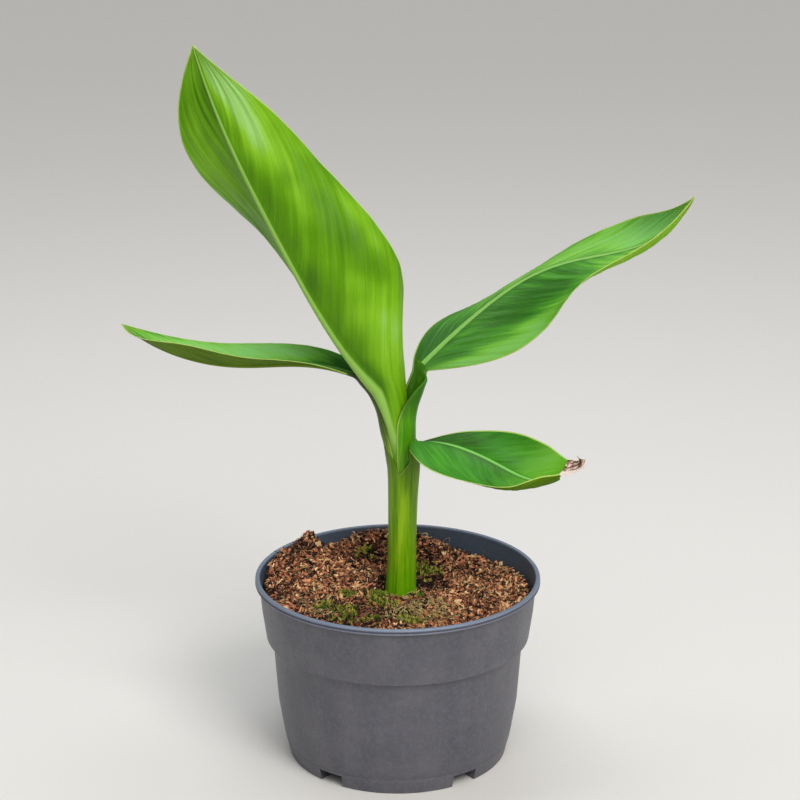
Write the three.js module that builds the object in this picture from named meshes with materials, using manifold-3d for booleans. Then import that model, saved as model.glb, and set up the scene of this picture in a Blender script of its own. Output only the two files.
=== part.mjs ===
// Young banana plant in a round nursery pot. Millimetres, +Z up, the pot stands on z = 0 and its
// axis is the z axis. The tall leaf leans to -X, the front of the plant is -Y.
import * as THREE from 'three';
import * as BufferGeometryUtils from 'three/addons/utils/BufferGeometryUtils.js';
import Module from 'manifold-3d';

const wasm = await Module();
wasm.setup();

// ---- driving dimensions -------------------------------------------------------------------
const GAP = 0.3;               // clearance between touching pieces

const POT_HEIGHT = 85;         // foot to the top of the lip
const LIP_RADIUS = 65;         // outside of the rolled lip
const LIP_DEPTH = 2.7;         // how far the lip hangs down
const COLLAR_TOP_RADIUS = 63;  // collar just below the lip
const COLLAR_FOOT_RADIUS = 60.2;
const COLLAR_FOOT_Z = 57;      // underside of the collar's step
const BODY_TOP_RADIUS = 57.3;
const BODY_BASE_RADIUS = 50.3;
const POT_WALL = 1.4;
const FLOOR_UNDERSIDE_Z = 7;
const FLOOR_THICKNESS = 1.5;
const FOOT_NOTCHES = 5;
const NOTCH_ANGLE = THREE.MathUtils.degToRad(14);
const NOTCH_HEIGHT = 6;
const DRAIN_HOLES = 5;
const DRAIN_RADIUS = 4;
const DRAIN_CIRCLE = 30;

const STEM_BASE_Z = 75;        // flat cut of the pseudostem, level with the peat
const STEM_TOP_Z = 158;
const STEM_SEAT_RADIUS = 11;    // level patch of peat under the stem

const POT_SIDES = 64;
const STEM_SIDES = 20;

// a leaf: where its midrib starts, how it runs, and how each half of the blade hangs from it.
// Lists are knots evenly spaced from base to tip; angles in degrees; side 0 is the left half
// looking along the midrib with the upper face up, side 1 the right half.
// shape = [place of the greatest width, base fullness, tip fullness, width share at the base]
const TALL = {
  foot: [-4.3, 0, 165.5], length: 179.5, bearing: [192, 174, 170, 169], rise: [50, 60.5, 64, 73.5],
  roll: [33, 47, 60, 82], fold: [[12, 15, 12, 7], [48, 26, 16, 5]],
  curl: [[155, 92, 88, -28], [110, 40, 2, -64]], width: [47, 45],
  shape: [[0.29, 1.6, 1.85, 0.42], [0.49, 1.8, 1.6, 0.2]], thick: 1.85, rib: 2.2,
};
const LEFT = {
  foot: [-19.7, 6.1, 177.8], length: 117, bearing: [154, 166.5, 162.5, 148],
  rise: [11.2, -6.5, 9.3, 29.7], roll: [-6, 1, 7, 4], fold: [[30, 30, 31, 22], [31, 30, 28, 25]],
  curl: [[-17, -10, 2, -20], [-13, -9, -9, -12]], width: [18, 17.6],
  shape: [[0.6, 1.5, 2.4, 0.41], [0.5, 1.5, 2.1, 0.35]], thick: 1.2, rib: 1.4,
};
const RIGHT = {
  foot: [9.5, -0.8, 182.9], length: 150.2, bearing: [28, 14, -16.5, -33],
  rise: [40.3, 33.1, 14.2, 65], roll: [58, 35, 32, 40], fold: [[-36, -43, -19, 16], [-43, -36, -16, 10]],
  curl: [[23, -22, 27, 106], [-3, 16, 77, 77]], width: [24.2, 25],
  shape: [[0.4, 2.05, 2.13, 0.17], [0.31, 2.13, 2.22, 0.08]], thick: 1.55, rib: 1.6,
};
const LOW = {
  foot: [6.9, -6.6, 149.9], length: 76.5, bearing: [-18, -12, -24, -12], rise: [16, -19, -13.5, 58],
  roll: [0, 18, 21, 6], fold: [[-38, -33, -20, 0], [-38, -40, -26, 0]],
  curl: [[40, 66, 70, 50], [50, 75, 96, 70]], width: [19.5, 22.5],
  shape: [[0.6, 1.8, 3.2, 0.25], [0.28, 2.9, 2.6, 0.15]], thick: 0.85, rib: 0.7,
};
const DRY_TIP = {
  foot: [72.2, -29.2, 142.7], length: 12, bearing: [-4, 4, 12], rise: [10, 25, 55],
  roll: [-35, -20, 0], fold: [[20, 25, 20], [10, 20, 20]], curl: [[60, 70, 60], [40, 60, 60]],
  width: [3.4, 2.4], shape: [[0.5, 1.8, 2.6, 0.5], [0.5, 1.8, 2.6, 0.5]], thick: 0.5, rib: 0.1,
};

// ---- small tools --------------------------------------------------------------------------
const rad = THREE.MathUtils.degToRad;
const vec = (x, y, z) => new THREE.Vector3(x, y, z);

// value at s in 0..1 of a smooth curve through evenly spaced knots
function smooth(knots, s) {
  const n = knots.length - 1;
  const x = Math.min(Math.max(s, 0), 1) * n;
  const i = Math.min(Math.floor(x), n - 1);
  const t = x - i;
  const p = (k) => knots[Math.min(Math.max(k, 0), n)];
  const m1 = i === 0 ? p(1) - p(0) : (p(i + 1) - p(i - 1)) / 2;
  const m2 = i + 2 > n ? p(i + 1) - p(i) : (p(i + 2) - p(i)) / 2;
  return (2 * t ** 3 - 3 * t ** 2 + 1) * p(i) + (t ** 3 - 2 * t ** 2 + t) * m1
    + (3 * t ** 2 - 2 * t ** 3) * p(i + 1) + (t ** 3 - t ** 2) * m2;
}

// value at x of a broken line through [x, value] pairs
function along(pairs, x) {
  let i = 1;
  while (i < pairs.length - 1 && x > pairs[i][0]) i += 1;
  const [a, b] = [pairs[i - 1], pairs[i]];
  return a[1] + (b[1] - a[1]) * (x - a[0]) / (b[0] - a[0]);
}

function geometryFrom(positions, triangles) {
  const geometry = new THREE.BufferGeometry();
  geometry.setAttribute('position', new THREE.Float32BufferAttribute(positions, 3));
  geometry.setIndex(triangles);
  geometry.computeVertexNormals();
  return geometry;
}

// closed body through rings of equal point counts; each end is closed to its centre
function loft(rings) {
  const count = rings[0].length;
  const positions = rings.flat().flatMap((p) => [p.x, p.y, p.z]);
  const triangles = [];
  for (let r = 0; r + 1 < rings.length; r += 1) {
    for (let k = 0; k < count; k += 1) {
      const [a, b] = [r * count + k, r * count + (k + 1) % count];
      triangles.push(a, b, a + count, b, b + count, a + count);
    }
  }
  for (const end of [0, rings.length - 1]) {
    const centre = rings[end].reduce((sum, p) => sum.add(p), vec(0, 0, 0)).divideScalar(count);
    const c = positions.length / 3;
    positions.push(centre.x, centre.y, centre.z);
    for (let k = 0; k < count; k += 1) {
      const [a, b] = [end * count + k, end * count + (k + 1) % count];
      if (end === 0) triangles.push(c, b, a);
      else triangles.push(c, a, b);
    }
  }
  return geometryFrom(positions, triangles);
}

function toSolid(geometry) {
  const bare = geometry.clone();
  bare.deleteAttribute('normal');
  bare.deleteAttribute('uv');
  const merged = BufferGeometryUtils.mergeVertices(bare, 1e-4);
  return new wasm.Manifold(new wasm.Mesh({
    numProp: 3,
    vertProperties: Float32Array.from(merged.attributes.position.array),
    triVerts: Uint32Array.from(merged.index.array),
  }));
}

function toGeometry(solid) {
  const mesh = solid.getMesh();
  return geometryFrom(Array.from(mesh.vertProperties), Array.from(mesh.triVerts));
}

// ---- pot ------------------------------------------------------------------------------------
// outside of the pot wall: [height, radius]
const OUTSIDE = [
  [0, BODY_BASE_RADIUS], [5, 51.4], [12, 53.0], [26, 55.2], [COLLAR_FOOT_Z - 0.6, BODY_TOP_RADIUS],
  [COLLAR_FOOT_Z, COLLAR_FOOT_RADIUS], [70, 62.0], [POT_HEIGHT - LIP_DEPTH, COLLAR_TOP_RADIUS],
];
// inside of the pot wall, above the floor
const INSIDE = OUTSIDE.slice(1).map(([z, r]) => [z + 1, r - POT_WALL]);

function potGeometry() {
  const top = POT_HEIGHT;
  const floorTop = FLOOR_UNDERSIDE_Z + FLOOR_THICKNESS;
  const outline = [
    [0, FLOOR_UNDERSIDE_Z], [BODY_BASE_RADIUS - 4.2, FLOOR_UNDERSIDE_Z], [BODY_BASE_RADIUS - 4.8, 0],
    ...OUTSIDE.map(([z, r]) => [r, z]),
    [LIP_RADIUS - 0.4, top - LIP_DEPTH], [LIP_RADIUS, top - LIP_DEPTH + 0.6],
    [LIP_RADIUS, top - 0.7], [LIP_RADIUS - 0.6, top], [LIP_RADIUS - 2.1, top],
    ...INSIDE.filter(([z]) => z > floorTop && z < top - 2).reverse().map(([z, r]) => [r, z]),
    [along(INSIDE, floorTop), floorTop], [0, floorTop],
  ];
  const body = new THREE.LatheGeometry(outline.map(([r, z]) => new THREE.Vector2(r, z)), POT_SIDES);
  body.rotateX(Math.PI / 2);
  let pot = toSolid(body);
  if (pot.volume() < 0) throw new Error('pot faces point in');
  for (let k = 0; k < FOOT_NOTCHES; k += 1) {
    // the front lies half way between two notches
    const angle = -Math.PI / 2 + (k + 0.5) * 2 * Math.PI / FOOT_NOTCHES;
    const wide = 2 * BODY_BASE_RADIUS * Math.sin(NOTCH_ANGLE / 2);
    const notch = new THREE.BoxGeometry(14, wide, NOTCH_HEIGHT + 2);
    notch.translate(BODY_BASE_RADIUS - 1, 0, NOTCH_HEIGHT / 2 - 1);
    notch.rotateZ(angle);
    pot = pot.subtract(toSolid(notch));
  }
  for (let k = 0; k < DRAIN_HOLES; k += 1) {
    const angle = -Math.PI / 2 + k * 2 * Math.PI / DRAIN_HOLES;
    const drill = new THREE.CylinderGeometry(DRAIN_RADIUS, DRAIN_RADIUS, 10, 16);
    drill.rotateX(Math.PI / 2);
    drill.translate(DRAIN_CIRCLE * Math.cos(angle), DRAIN_CIRCLE * Math.sin(angle), FLOOR_UNDERSIDE_Z);
    pot = pot.subtract(toSolid(drill));
  }
  return toGeometry(pot);
}

// ---- peat filling ---------------------------------------------------------------------------
const bump = (x, y, cx, cy, reach) => Math.exp(-((x - cx) ** 2 + (y - cy) ** 2) / reach ** 2);

// height of the peat: heaped at the back left, hollow at the back right and beside the stem
function peatHeight(x, y) {
  const lumps = 0.9 * Math.sin(x / 4.1 + 1) * Math.cos(y / 4.7) + 0.6 * Math.sin(x / 2.6 - y / 3.1);
  const heap = 10.5 * bump(x, y, -36, 34, 27) + 3.5 * bump(x, y, -40, -20, 26)
    + 3 * bump(x, y, 0, -52, 24) - 8.5 * bump(x, y, 34, 32, 27) - 7 * bump(x, y, 20, 6, 11)
    + 2 * bump(x, y, 42, -24, 22);
  const free = 77 + heap + lumps;
  const fromStem = Math.hypot(x - 1.3, y);
  const level = THREE.MathUtils.smoothstep(fromStem, STEM_SEAT_RADIUS, STEM_SEAT_RADIUS + 5);
  return (STEM_BASE_Z - GAP) * (1 - level) + free * level;
}

function peatGeometry() {
  const sides = 48;
  const steps = 14;
  const floor = FLOOR_UNDERSIDE_Z + FLOOR_THICKNESS + GAP;
  const centre = vec(1.3, 0, 0);
  // chords of the pot's facets lie inside its true circle
  const fit = Math.cos(Math.PI / POT_SIDES);
  const inner = (z) => (along(INSIDE, Math.min(z, POT_HEIGHT - 4)) - GAP) * fit;
  const ring = (point) => Array.from({ length: sides }, (_, k) => point(2 * Math.PI * k / sides));
  const level = (z, radius) => ring((a) => vec(radius * Math.cos(a), radius * Math.sin(a), z));
  const surface = (share) => ring((a) => {
    // the edge of the peat lies against the wall at its own height
    let r = inner(POT_HEIGHT);
    for (let n = 0; n < 3; n += 1) r = inner(peatHeight(r * Math.cos(a), r * Math.sin(a)) - 1);
    const p = centre.clone().lerp(vec(r * Math.cos(a), r * Math.sin(a), 0), share);
    return vec(p.x, p.y, peatHeight(p.x, p.y));
  });
  const rings = [level(floor, inner(floor))];
  for (const z of [13, 27, COLLAR_FOOT_Z]) rings.push(level(z, inner(z)));
  rings.push(level(COLLAR_FOOT_Z + 0.6, inner(COLLAR_FOOT_Z)), level(COLLAR_FOOT_Z + 1.5, inner(COLLAR_FOOT_Z + 1.2)));
  rings.push(level(64, inner(64)));
  for (let k = 0; k < steps; k += 1) rings.push(surface(1 - 0.97 * k / (steps - 1)));
  return loft(rings);
}

// ---- pseudostem and petioles ------------------------------------------------------------------
// rings round an axis given as [z, x of the axis, y of the axis, half width, half depth]
function limb(stations, sides) {
  return loft(stations.map(([z, x, y, wide, deep, tilt = 0]) => Array.from({ length: sides }, (_, k) => {
    const a = 2 * Math.PI * k / sides;
    const px = wide * Math.cos(a);
    return vec(x + px, y + deep * Math.sin(a), z + tilt * px);
  })));
}

// the inner sheaths, flat at the peat and level where the leaves part
function stemGeometry() {
  const core = [
    [STEM_BASE_Z, 1.3, 0, 6.6, 6.3], [80, 1.3, 0, 6.4, 6.1], [92, 1.4, 0, 6.3, 6.0],
    [107, 1.8, 0, 6.2, 6.0], [122, 2.2, 0, 6.5, 6.1], [134, 2.1, 0, 6.9, 6.2],
    [146, 0.9, 0, 6.95, 6.3], [153, 0.5, 0, 7.8, 6.5], [STEM_TOP_Z, -0.1, 0, 8.5, 6.7],
  ];
  // the outermost sheath wraps the core and ends in a slanted mouth that rises to the right
  const sheath = [
    [STEM_BASE_Z, 1.3, 0, 7.1, 6.9], [92, 1.5, 0, 6.9, 6.6], [107, 1.9, 0, 6.7, 6.6],
    [122, 2.5, 0, 7.2, 6.8], [132, 3.0, 0, 7.8, 7.0], [135.5, 3.2, 0, 8.0, 7.0, 0.35],
  ];
  const joined = toSolid(limb(core, STEM_SIDES)).add(toSolid(limb(sheath, STEM_SIDES)));
  return toGeometry(joined);
}

// a tapering limb along a smooth curve from one point to another
function petiole(points, radii, flat, sides = 12, steps = 8) {
  const curve = new THREE.CatmullRomCurve3(points.map((p) => vec(...p)), false, 'centripetal');
  const rings = [];
  for (let i = 0; i <= steps; i += 1) {
    const t = i / steps;
    const centre = curve.getPointAt(t);
    const ahead = curve.getTangentAt(t);
    const across = vec(0, 1, 0).addScaledVector(ahead, -ahead.y).normalize();
    const up = across.clone().cross(ahead).normalize();
    const r = radii[0] + (radii[1] - radii[0]) * t;
    rings.push(Array.from({ length: sides }, (_, k) => {
      const a = 2 * Math.PI * k / sides;
      const p = centre.clone().addScaledVector(up, -r * Math.cos(a))
        .addScaledVector(across, -r * flat * Math.sin(a));
      if (i === 0) p.z = centre.z;  // the foot is level, as its seat is
      return p;
    }));
  }
  return loft(rings);
}

// ---- leaf blades --------------------------------------------------------------------------------
function midrib(leaf, steps) {
  const stations = [];
  const at = vec(...leaf.foot);
  let before = null;
  for (let i = 0; i <= steps; i += 1) {
    const s = i / steps;
    const bearing = rad(smooth(leaf.bearing, s));
    const rise = rad(smooth(leaf.rise, s));
    const roll = rad(smooth(leaf.roll, s));
    const ahead = vec(Math.cos(rise) * Math.cos(bearing), Math.cos(rise) * Math.sin(bearing), Math.sin(rise));
    if (before) at.addScaledVector(before.clone().add(ahead), leaf.length / steps / 2);
    const level = vec(-Math.sin(bearing), Math.cos(bearing), 0);
    const over = ahead.clone().cross(level);
    const side = level.clone().multiplyScalar(Math.cos(roll)).addScaledVector(over, Math.sin(roll));
    const up = over.clone().multiplyScalar(Math.cos(roll)).addScaledVector(level, -Math.sin(roll));
    stations.push({ s, at: at.clone(), side, up });
    before = ahead;
  }
  return stations;
}

function halfWidth(leaf, side, s) {
  const [widest, base, tip, share] = leaf.shape[side];
  if (s < widest) return leaf.width[side] * (share + (1 - share) * (1 - (1 - s / widest) ** base));
  return leaf.width[side] * (1 - ((s - widest) / (1 - widest)) ** tip);
}

// point and upward normal of the blade's middle surface, u from the midrib (0) to the margin (1)
function bladePoint(leaf, station, side, u) {
  const fold = rad(smooth(leaf.fold[side], station.s));
  const bend = rad(smooth(leaf.curl[side], station.s));
  const curl = Math.abs(bend) < 1e-3 ? 1e-3 : bend;
  const w = halfWidth(leaf, side, station.s);
  const sign = side === 0 ? 1 : -1;
  const out = w / curl * (Math.sin(fold + curl * u) - Math.sin(fold));
  const up = w / curl * (Math.cos(fold) - Math.cos(fold + curl * u));
  const turn = fold + curl * u;
  return {
    point: station.at.clone().addScaledVector(station.side, sign * out).addScaledVector(station.up, up),
    normal: station.up.clone().multiplyScalar(Math.cos(turn))
      .addScaledVector(station.side, -sign * Math.sin(turn)),
  };
}

// the tall leaf's sheath opens from the stem's flat top into the rolled base of the blade
function sheathMouth(leaf) {
  const base = midrib(leaf, 60)[0];
  const ahead = base.side.clone().cross(base.up);
  const centre = base.at.clone().addScaledVector(base.up, 3.2).addScaledVector(ahead, -0.35);
  const sides = 16;
  const ring = (place) => Array.from({ length: sides }, (_, k) => place(2 * Math.PI * k / sides));
  const foot = ring((a) => vec(-2.6 - 3.6 * Math.sin(a), -1.3 + 3.6 * Math.cos(a), STEM_TOP_Z + GAP));
  const mouth = ring((a) => centre.clone().addScaledVector(base.side, 5.6 * Math.cos(a))
    .addScaledVector(base.up, 4.6 * Math.sin(a)));
  const middle = foot.map((p, k) => p.clone().lerp(mouth[k], 0.5));
  return loft([foot, middle, mouth]);
}

const ACROSS = [0.16, 0.42, 0.72, 1];

// one closed blade: upper and lower skins a leaf's thickness apart, fuller under the midrib
function bladeGeometry(leaf, steps, first = 0) {
  const fine = midrib(leaf, 60);
  const rings = [];
  for (let i = 0; i <= steps; i += 1) {
    const s = first + (0.985 - first) * (1 - (1 - i / steps) ** 1.25);
    const low = Math.min(Math.floor(s * 60), 59);
    const t = s * 60 - low;
    const station = {
      s,
      at: fine[low].at.clone().lerp(fine[low + 1].at, t),
      side: fine[low].side.clone().lerp(fine[low + 1].side, t).normalize(),
      up: fine[low].up.clone().lerp(fine[low + 1].up, t).normalize(),
    };
    const row = [
      ...ACROSS.map((u) => [0, u]).reverse(), [0, 0], ...ACROSS.map((u) => [1, u]),
    ];
    const upper = [];
    const lower = [];
    for (const [side, u] of row) {
      const { point, normal } = bladePoint(leaf, station, side, u);
      if (u === 0) normal.copy(station.up);
      const half = leaf.thick / 2 * (u === 1 ? 0.6 : 1);
      const rib = u === 0 ? leaf.rib * (1 - 0.85 * s) : 0;
      upper.push(point.clone().addScaledVector(normal, half));
      lower.push(point.clone().addScaledVector(normal, -half - rib));
    }
    rings.push([...upper, ...lower.reverse()]);
  }
  return skin(rings);
}

// closed body through flat rings; each end is closed by strips between its two long sides
function skin(rings) {
  const count = rings[0].length;
  const positions = rings.flat().flatMap((p) => [p.x, p.y, p.z]);
  const triangles = [];
  for (let r = 0; r + 1 < rings.length; r += 1) {
    for (let k = 0; k < count; k += 1) {
      const [a, b] = [r * count + k, r * count + (k + 1) % count];
      triangles.push(a, b, a + count, b, b + count, a + count);
    }
  }
  for (const end of [0, rings.length - 1]) {
    const base = end * count;
    for (let k = 0; k + 1 < count / 2; k += 1) {
      const [a, b, c, d] = [base + k, base + k + 1, base + count - 2 - k, base + count - 1 - k];
      if (end === 0) triangles.push(a, c, b, a, d, c);
      else triangles.push(a, b, c, a, c, d);
    }
  }
  const geometry = geometryFrom(positions, triangles);
  return toSolid(geometry).volume() < 0 ? flipped(geometry) : geometry;
}

function flipped(geometry) {
  const index = geometry.index.array;
  for (let i = 0; i < index.length; i += 3) [index[i], index[i + 1]] = [index[i + 1], index[i]];
  geometry.computeVertexNormals();
  return geometry;
}

// ---- the plant ------------------------------------------------------------------------------------
const finish = (color, roughness) => new THREE.MeshStandardMaterial({ color, roughness, metalness: 0 });
const POT_PLASTIC = finish('#4a4c52', 0.5);
const PEAT = finish('#5a4334', 0.95);
const STEM_GREEN = finish('#7da03a', 0.45);
const PETIOLE_GREEN = finish('#4f8430', 0.45);
const YOUNG_LEAF = finish('#6fae2c', 0.4);
const GROWN_LEAF = finish('#3f8f43', 0.4);
const DRY_LEAF = finish('#cbb3a2', 0.85);

const plant = new THREE.Group();
function add(name, geometry, material) {
  const mesh = new THREE.Mesh(geometry, material);
  mesh.name = name;
  plant.add(mesh);
}

add('pot', potGeometry(), POT_PLASTIC);
add('soil', peatGeometry(), PEAT);
add('pseudostem', stemGeometry(), STEM_GREEN);
add('petiole_tall', sheathMouth(TALL), STEM_GREEN);
add('petiole_right', petiole([[4.9, -0.6, STEM_TOP_Z + GAP], [5.8, -0.8, 169], [8.9, -0.8, 181.2]], [3.3, 3.2], 1),
  PETIOLE_GREEN);
add('petiole_left', petiole([[-5.6, 3.7, STEM_TOP_Z + GAP], [-8.9, 6.8, 164.5], [-12.4, 7.6, 170.6], [-18.3, 6.3, 176.6]],
  [2.1, 1.9], 1), PETIOLE_GREEN);
add('petiole_low', petiole([[10.4, -1.8, 138.6], [10.4, -3.0, 144], [10.2, -4.5, 147.7]], [1.7, 1.1], 1.2, 10, 4), PETIOLE_GREEN);
add('leaf_tall', bladeGeometry(TALL, 30), YOUNG_LEAF);
add('leaf_left', bladeGeometry(LEFT, 22), GROWN_LEAF);
add('leaf_right', bladeGeometry(RIGHT, 26), GROWN_LEAF);
add('leaf_low', bladeGeometry(LOW, 20, 0.03), GROWN_LEAF);
add('dry_tip', bladeGeometry(DRY_TIP, 6), DRY_LEAF);

export default plant;
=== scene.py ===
"""A potted young banana plant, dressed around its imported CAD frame.

Shapes are worked out in millimetres and written to the meshes in metres. +Z is up, the pot stands on
z = 0 with its axis on the z axis, and the front of the plant faces -Y.
"""
import math

import bpy
import numpy as np
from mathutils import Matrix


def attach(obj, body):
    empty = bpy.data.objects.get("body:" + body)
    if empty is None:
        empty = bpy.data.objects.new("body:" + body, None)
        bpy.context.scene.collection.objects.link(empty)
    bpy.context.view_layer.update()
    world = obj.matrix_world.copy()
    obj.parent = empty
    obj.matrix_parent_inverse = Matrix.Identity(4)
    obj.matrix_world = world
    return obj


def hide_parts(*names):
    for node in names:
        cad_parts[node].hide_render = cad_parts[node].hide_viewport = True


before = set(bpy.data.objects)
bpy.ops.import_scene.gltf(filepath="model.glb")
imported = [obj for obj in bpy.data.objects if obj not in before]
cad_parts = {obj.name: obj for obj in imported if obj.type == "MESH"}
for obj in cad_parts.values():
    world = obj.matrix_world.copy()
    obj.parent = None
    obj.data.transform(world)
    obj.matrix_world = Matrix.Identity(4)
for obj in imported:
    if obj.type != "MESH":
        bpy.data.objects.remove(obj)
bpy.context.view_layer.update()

MM = 0.001

# ---- sizes of the pot and the stem, the same as the part's source ----
POT_HEIGHT = 85.0
LIP_RADIUS = 65.0
LIP_DEPTH = 2.7
COLLAR_TOP_RADIUS = 63.0
COLLAR_FOOT_RADIUS = 60.2
COLLAR_FOOT_Z = 57.0
BODY_TOP_RADIUS = 57.3
BODY_BASE_RADIUS = 50.3
POT_WALL = 1.4
FLOOR_UNDERSIDE_Z = 7.0
FLOOR_THICKNESS = 1.5
FOOT_NOTCHES = 5
NOTCH_ANGLE = math.radians(14)
NOTCH_HEIGHT = 6.0
DRAIN_HOLES = 5
DRAIN_RADIUS = 4.0
DRAIN_CIRCLE = 30.0
STEM_BASE_Z = 75.0

# ---- sizes that only the scene has a name for ----
WALL_MIDDLE_Z = 71.0  # the middle of the collar's wall, and how it leans out
WALL_MIDDLE_RADIUS = 61.35
WALL_SLOPE = 0.1185
FLOOR_TOP_Z = FLOOR_UNDERSIDE_Z + FLOOR_THICKNESS
STEM_X = 1.3  # axis of the stem at the peat
STEM_FOOT_Z = STEM_BASE_Z - 0.3  # its skin ends just under the peat
PEAT_Z = 77.0  # the peat's level between its heaps
FULL_TURN = 2 * math.pi

# ---- leaves' values: the tall and left leaf as in the source, the others fitted finer ----
# A leaf: where its midrib starts, how it runs, and how each half of the blade hangs from it.
# Lists are knots evenly spaced from base to tip; angles in degrees; side 0 is the left half
# looking along the midrib with the upper face up, side 1 the right half.
# shape = [place of the greatest width, base fullness, tip fullness, width share at the base]
# keel = [depth, half width] of the ridge under the midrib
# lean = how far a vein runs up the leaf on its way from the midrib to the margin
# pleat = [spacing along the midrib, height] of the soft folds that follow the veins
# lobe, sweep = how far each margin runs back at the foot, and ahead of the midrib at the tip
# start = the ring at which the stalk's skin goes over into the blade's; stop = the ring it is cut at
# the last list holds lighter and darker patches, partly the leaf's own tone and partly painted sheen and
# painted shade: (side, place along, place across, reach along, reach across, amount)
TALL = dict(
    foot=[-4.3, 0, 165.5], length=179.5,
    bearing=[192, 174, 170, 169], rise=[50, 60.5, 64, 73.5],
    roll=[33, 47, 60, 82], fold=[[12, 15, 12, 7], [48, 26, 16, 5]],
    curl=[[155, 92, 88, -28], [110, 40, 2, -64]], width=[47, 45],
    shape=[[0.29, 1.6, 1.85, 0.42], [0.49, 1.8, 1.6, 0.2]],
    keel=[2.3, 2.5], lean=86, pleat=[21, 0.55], start=12,
    tone_and_light_patches=[(0, 0.08, 0.6, 0.25, 0.45, 0.13), (0, 0.05, 0.1, 0.1, 0.12, -0.14),
           (0, 0.45, 0.12, 0.35, 0.12, -0.1), (0, 0.33, 0.5, 0.06, 0.2, 0.09),
           (0, 0.56, 0.42, 0.06, 0.16, 0.1), (0, 0.75, 0.45, 0.1, 0.2, 0.12),
           (0, 0.9, 0.6, 0.12, 0.45, 0.36), (0, 0.4, 0.86, 0.2, 0.1, 0.1),
           (0, 0.47, 0.65, 0.16, 0.2, -0.13), (1, 0.5, 0.3, 0.4, 0.4, -0.02),
           (1, 0.8, 0.9, 0.2, 0.3, 0.08)])
LEFT = dict(
    foot=[-19.7, 6.1, 177.8], length=117,
    bearing=[154, 166.5, 162.5, 148], rise=[11.2, -6.5, 9.3, 29.7],
    roll=[-6, 1, 7, 4], fold=[[30, 30, 31, 22], [31, 30, 28, 25]],
    curl=[[-17, -10, 2, -20], [-13, -9, -9, -12]], width=[18, 17.6],
    shape=[[0.6, 1.5, 2.4, 0.41], [0.5, 1.5, 2.1, 0.35]],
    keel=[1.2, 1.3], lean=34, pleat=[9.5, 0.22],
    tone_and_light_patches=[(1, 0.45, 0.6, 0.45, 0.5, 0.3), (1, 0.02, 0.6, 0.12, 0.9, -0.2)])
RIGHT = dict(
    foot=[9.5, -0.8, 182.9], length=150.2,
    bearing=[28, 14, -16.5, -33], rise=[40.3, 33.1, 14.2, 65],
    roll=[58, 35, 32, 40], fold=[[-36, -43, -19, 16], [-43, -36, -16, 10]],
    curl=[[23, -22, 27, 106], [-3, 16, 77, 77]], width=[24.2, 25],
    shape=[[0.4, 2.05, 2.13, 0.17], [0.31, 2.13, 2.22, 0.12]],
    keel=[1.4, 1.5], lean=50, pleat=[11, 0.35], start=4,
    tone_and_light_patches=[(1, 0.22, 0.88, 0.28, 0.22, 0.26), (1, 0.38, 0.4, 0.22, 0.28, -0.2),
           (0, 0.7, 0.5, 0.3, 0.6, 0.2), (0, 0.93, 0.5, 0.1, 0.8, 0.14),
           (1, 0.86, 0.6, 0.2, 0.6, 0.34), (0, 0.05, 0.5, 0.15, 0.6, -0.25),
           (0, 0.35, 0.4, 0.15, 0.3, 0.12), (0, 0.92, 0.5, 0.14, 0.7, 0.3)])
LOW = dict(
    foot=[6.9, -6.6, 149.9], length=76.7,
    bearing=[-18, -12, -24, -13.5], rise=[16, -19, -16, 51.5],
    roll=[0, 18, 21, 6], fold=[[-38, -33, -7.5, -17], [50, -16, -40, -35, -26, -10, -14.5]],
    curl=[[40, 66, 71, 4], [-115, 20, 75, 88, 96, 106, 53]], width=[19.5, 22.5],
    shape=[[0.6, 1.8, 4.2, 0.25], [0.28, 2.9, 2.8, 0.34]],
    keel=[0.8, 1.0], lean=30, pleat=[6.5, 0.2], lobe=[0, 0.3], start=2, stop=146, sweep=[4.2, 3.9],
    tone_and_light_patches=[(0, 0.12, 0.5, 0.2, 0.6, -0.2), (0, 0.8, 0.5, 0.2, 0.6, 0.12),
           (1, 0.15, 0.5, 0.2, 0.6, 0.1)])
DRY_TIP = dict(
    foot=[72.4, -21.2, 142.0], length=12.9, bearing=[-26, -22.5, -5.5], rise=[5.5, 25.5, 79],
    roll=[13, 11, 42], fold=[[6, 12, 14], [6, 2, 14]], curl=[[2.5, -14.5, 50], [7.5, 13, 50]],
    width=[8.1, 6.9], shape=[[0.25, 1.8, 3.0, 0.9], [0.3, 1.8, 2.6, 0.9]],
    keel=[0.1, 0.4], lean=6, pleat=[2.3, 0.25])

# rings along each blade, for the blade and for the stalk that leads into it
TALL_RINGS, LEFT_RINGS, RIGHT_RINGS, LOW_RINGS = 240, 200, 240, 160


# ---- camera, light and floor ----
CAMERA_PLACE = (0.00104, -0.8492, 0.4273)
CAMERA_TILT = 17  # degrees that it looks down by
PLANT_MIDDLE = (0, 0, 0.17)


def add_to_scene(name, data):
    """An object that holds the given camera, light or mesh."""
    made = bpy.data.objects.new(name, data)
    bpy.context.scene.collection.objects.link(made)
    return made


def add_camera():
    """Looks at the plant from a little above, as the photograph does."""
    data = bpy.data.cameras.new("camera")
    data.lens = 90
    data.sensor_width = 36
    camera = add_to_scene("camera", data)
    camera.location = CAMERA_PLACE
    camera.rotation_euler = (math.radians(90 - CAMERA_TILT), 0, 0)
    bpy.context.scene.camera = camera


def add_light(name, kind, place, target, strength, colour, **shape):
    """A light at a place, turned towards a target."""
    data = bpy.data.lights.new(name, kind)
    data.energy = strength
    data.color = colour
    for key, value in shape.items():
        setattr(data, key, value)
    light = add_to_scene(name, data)
    light.location = place
    ahead = [t - p for t, p in zip(target, place)]
    turn = math.atan2(ahead[0], -ahead[1])
    down = math.atan2(-ahead[2], math.hypot(ahead[0], ahead[1]))
    light.rotation_euler = (math.pi / 2 - down, 0, math.pi + turn)


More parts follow.
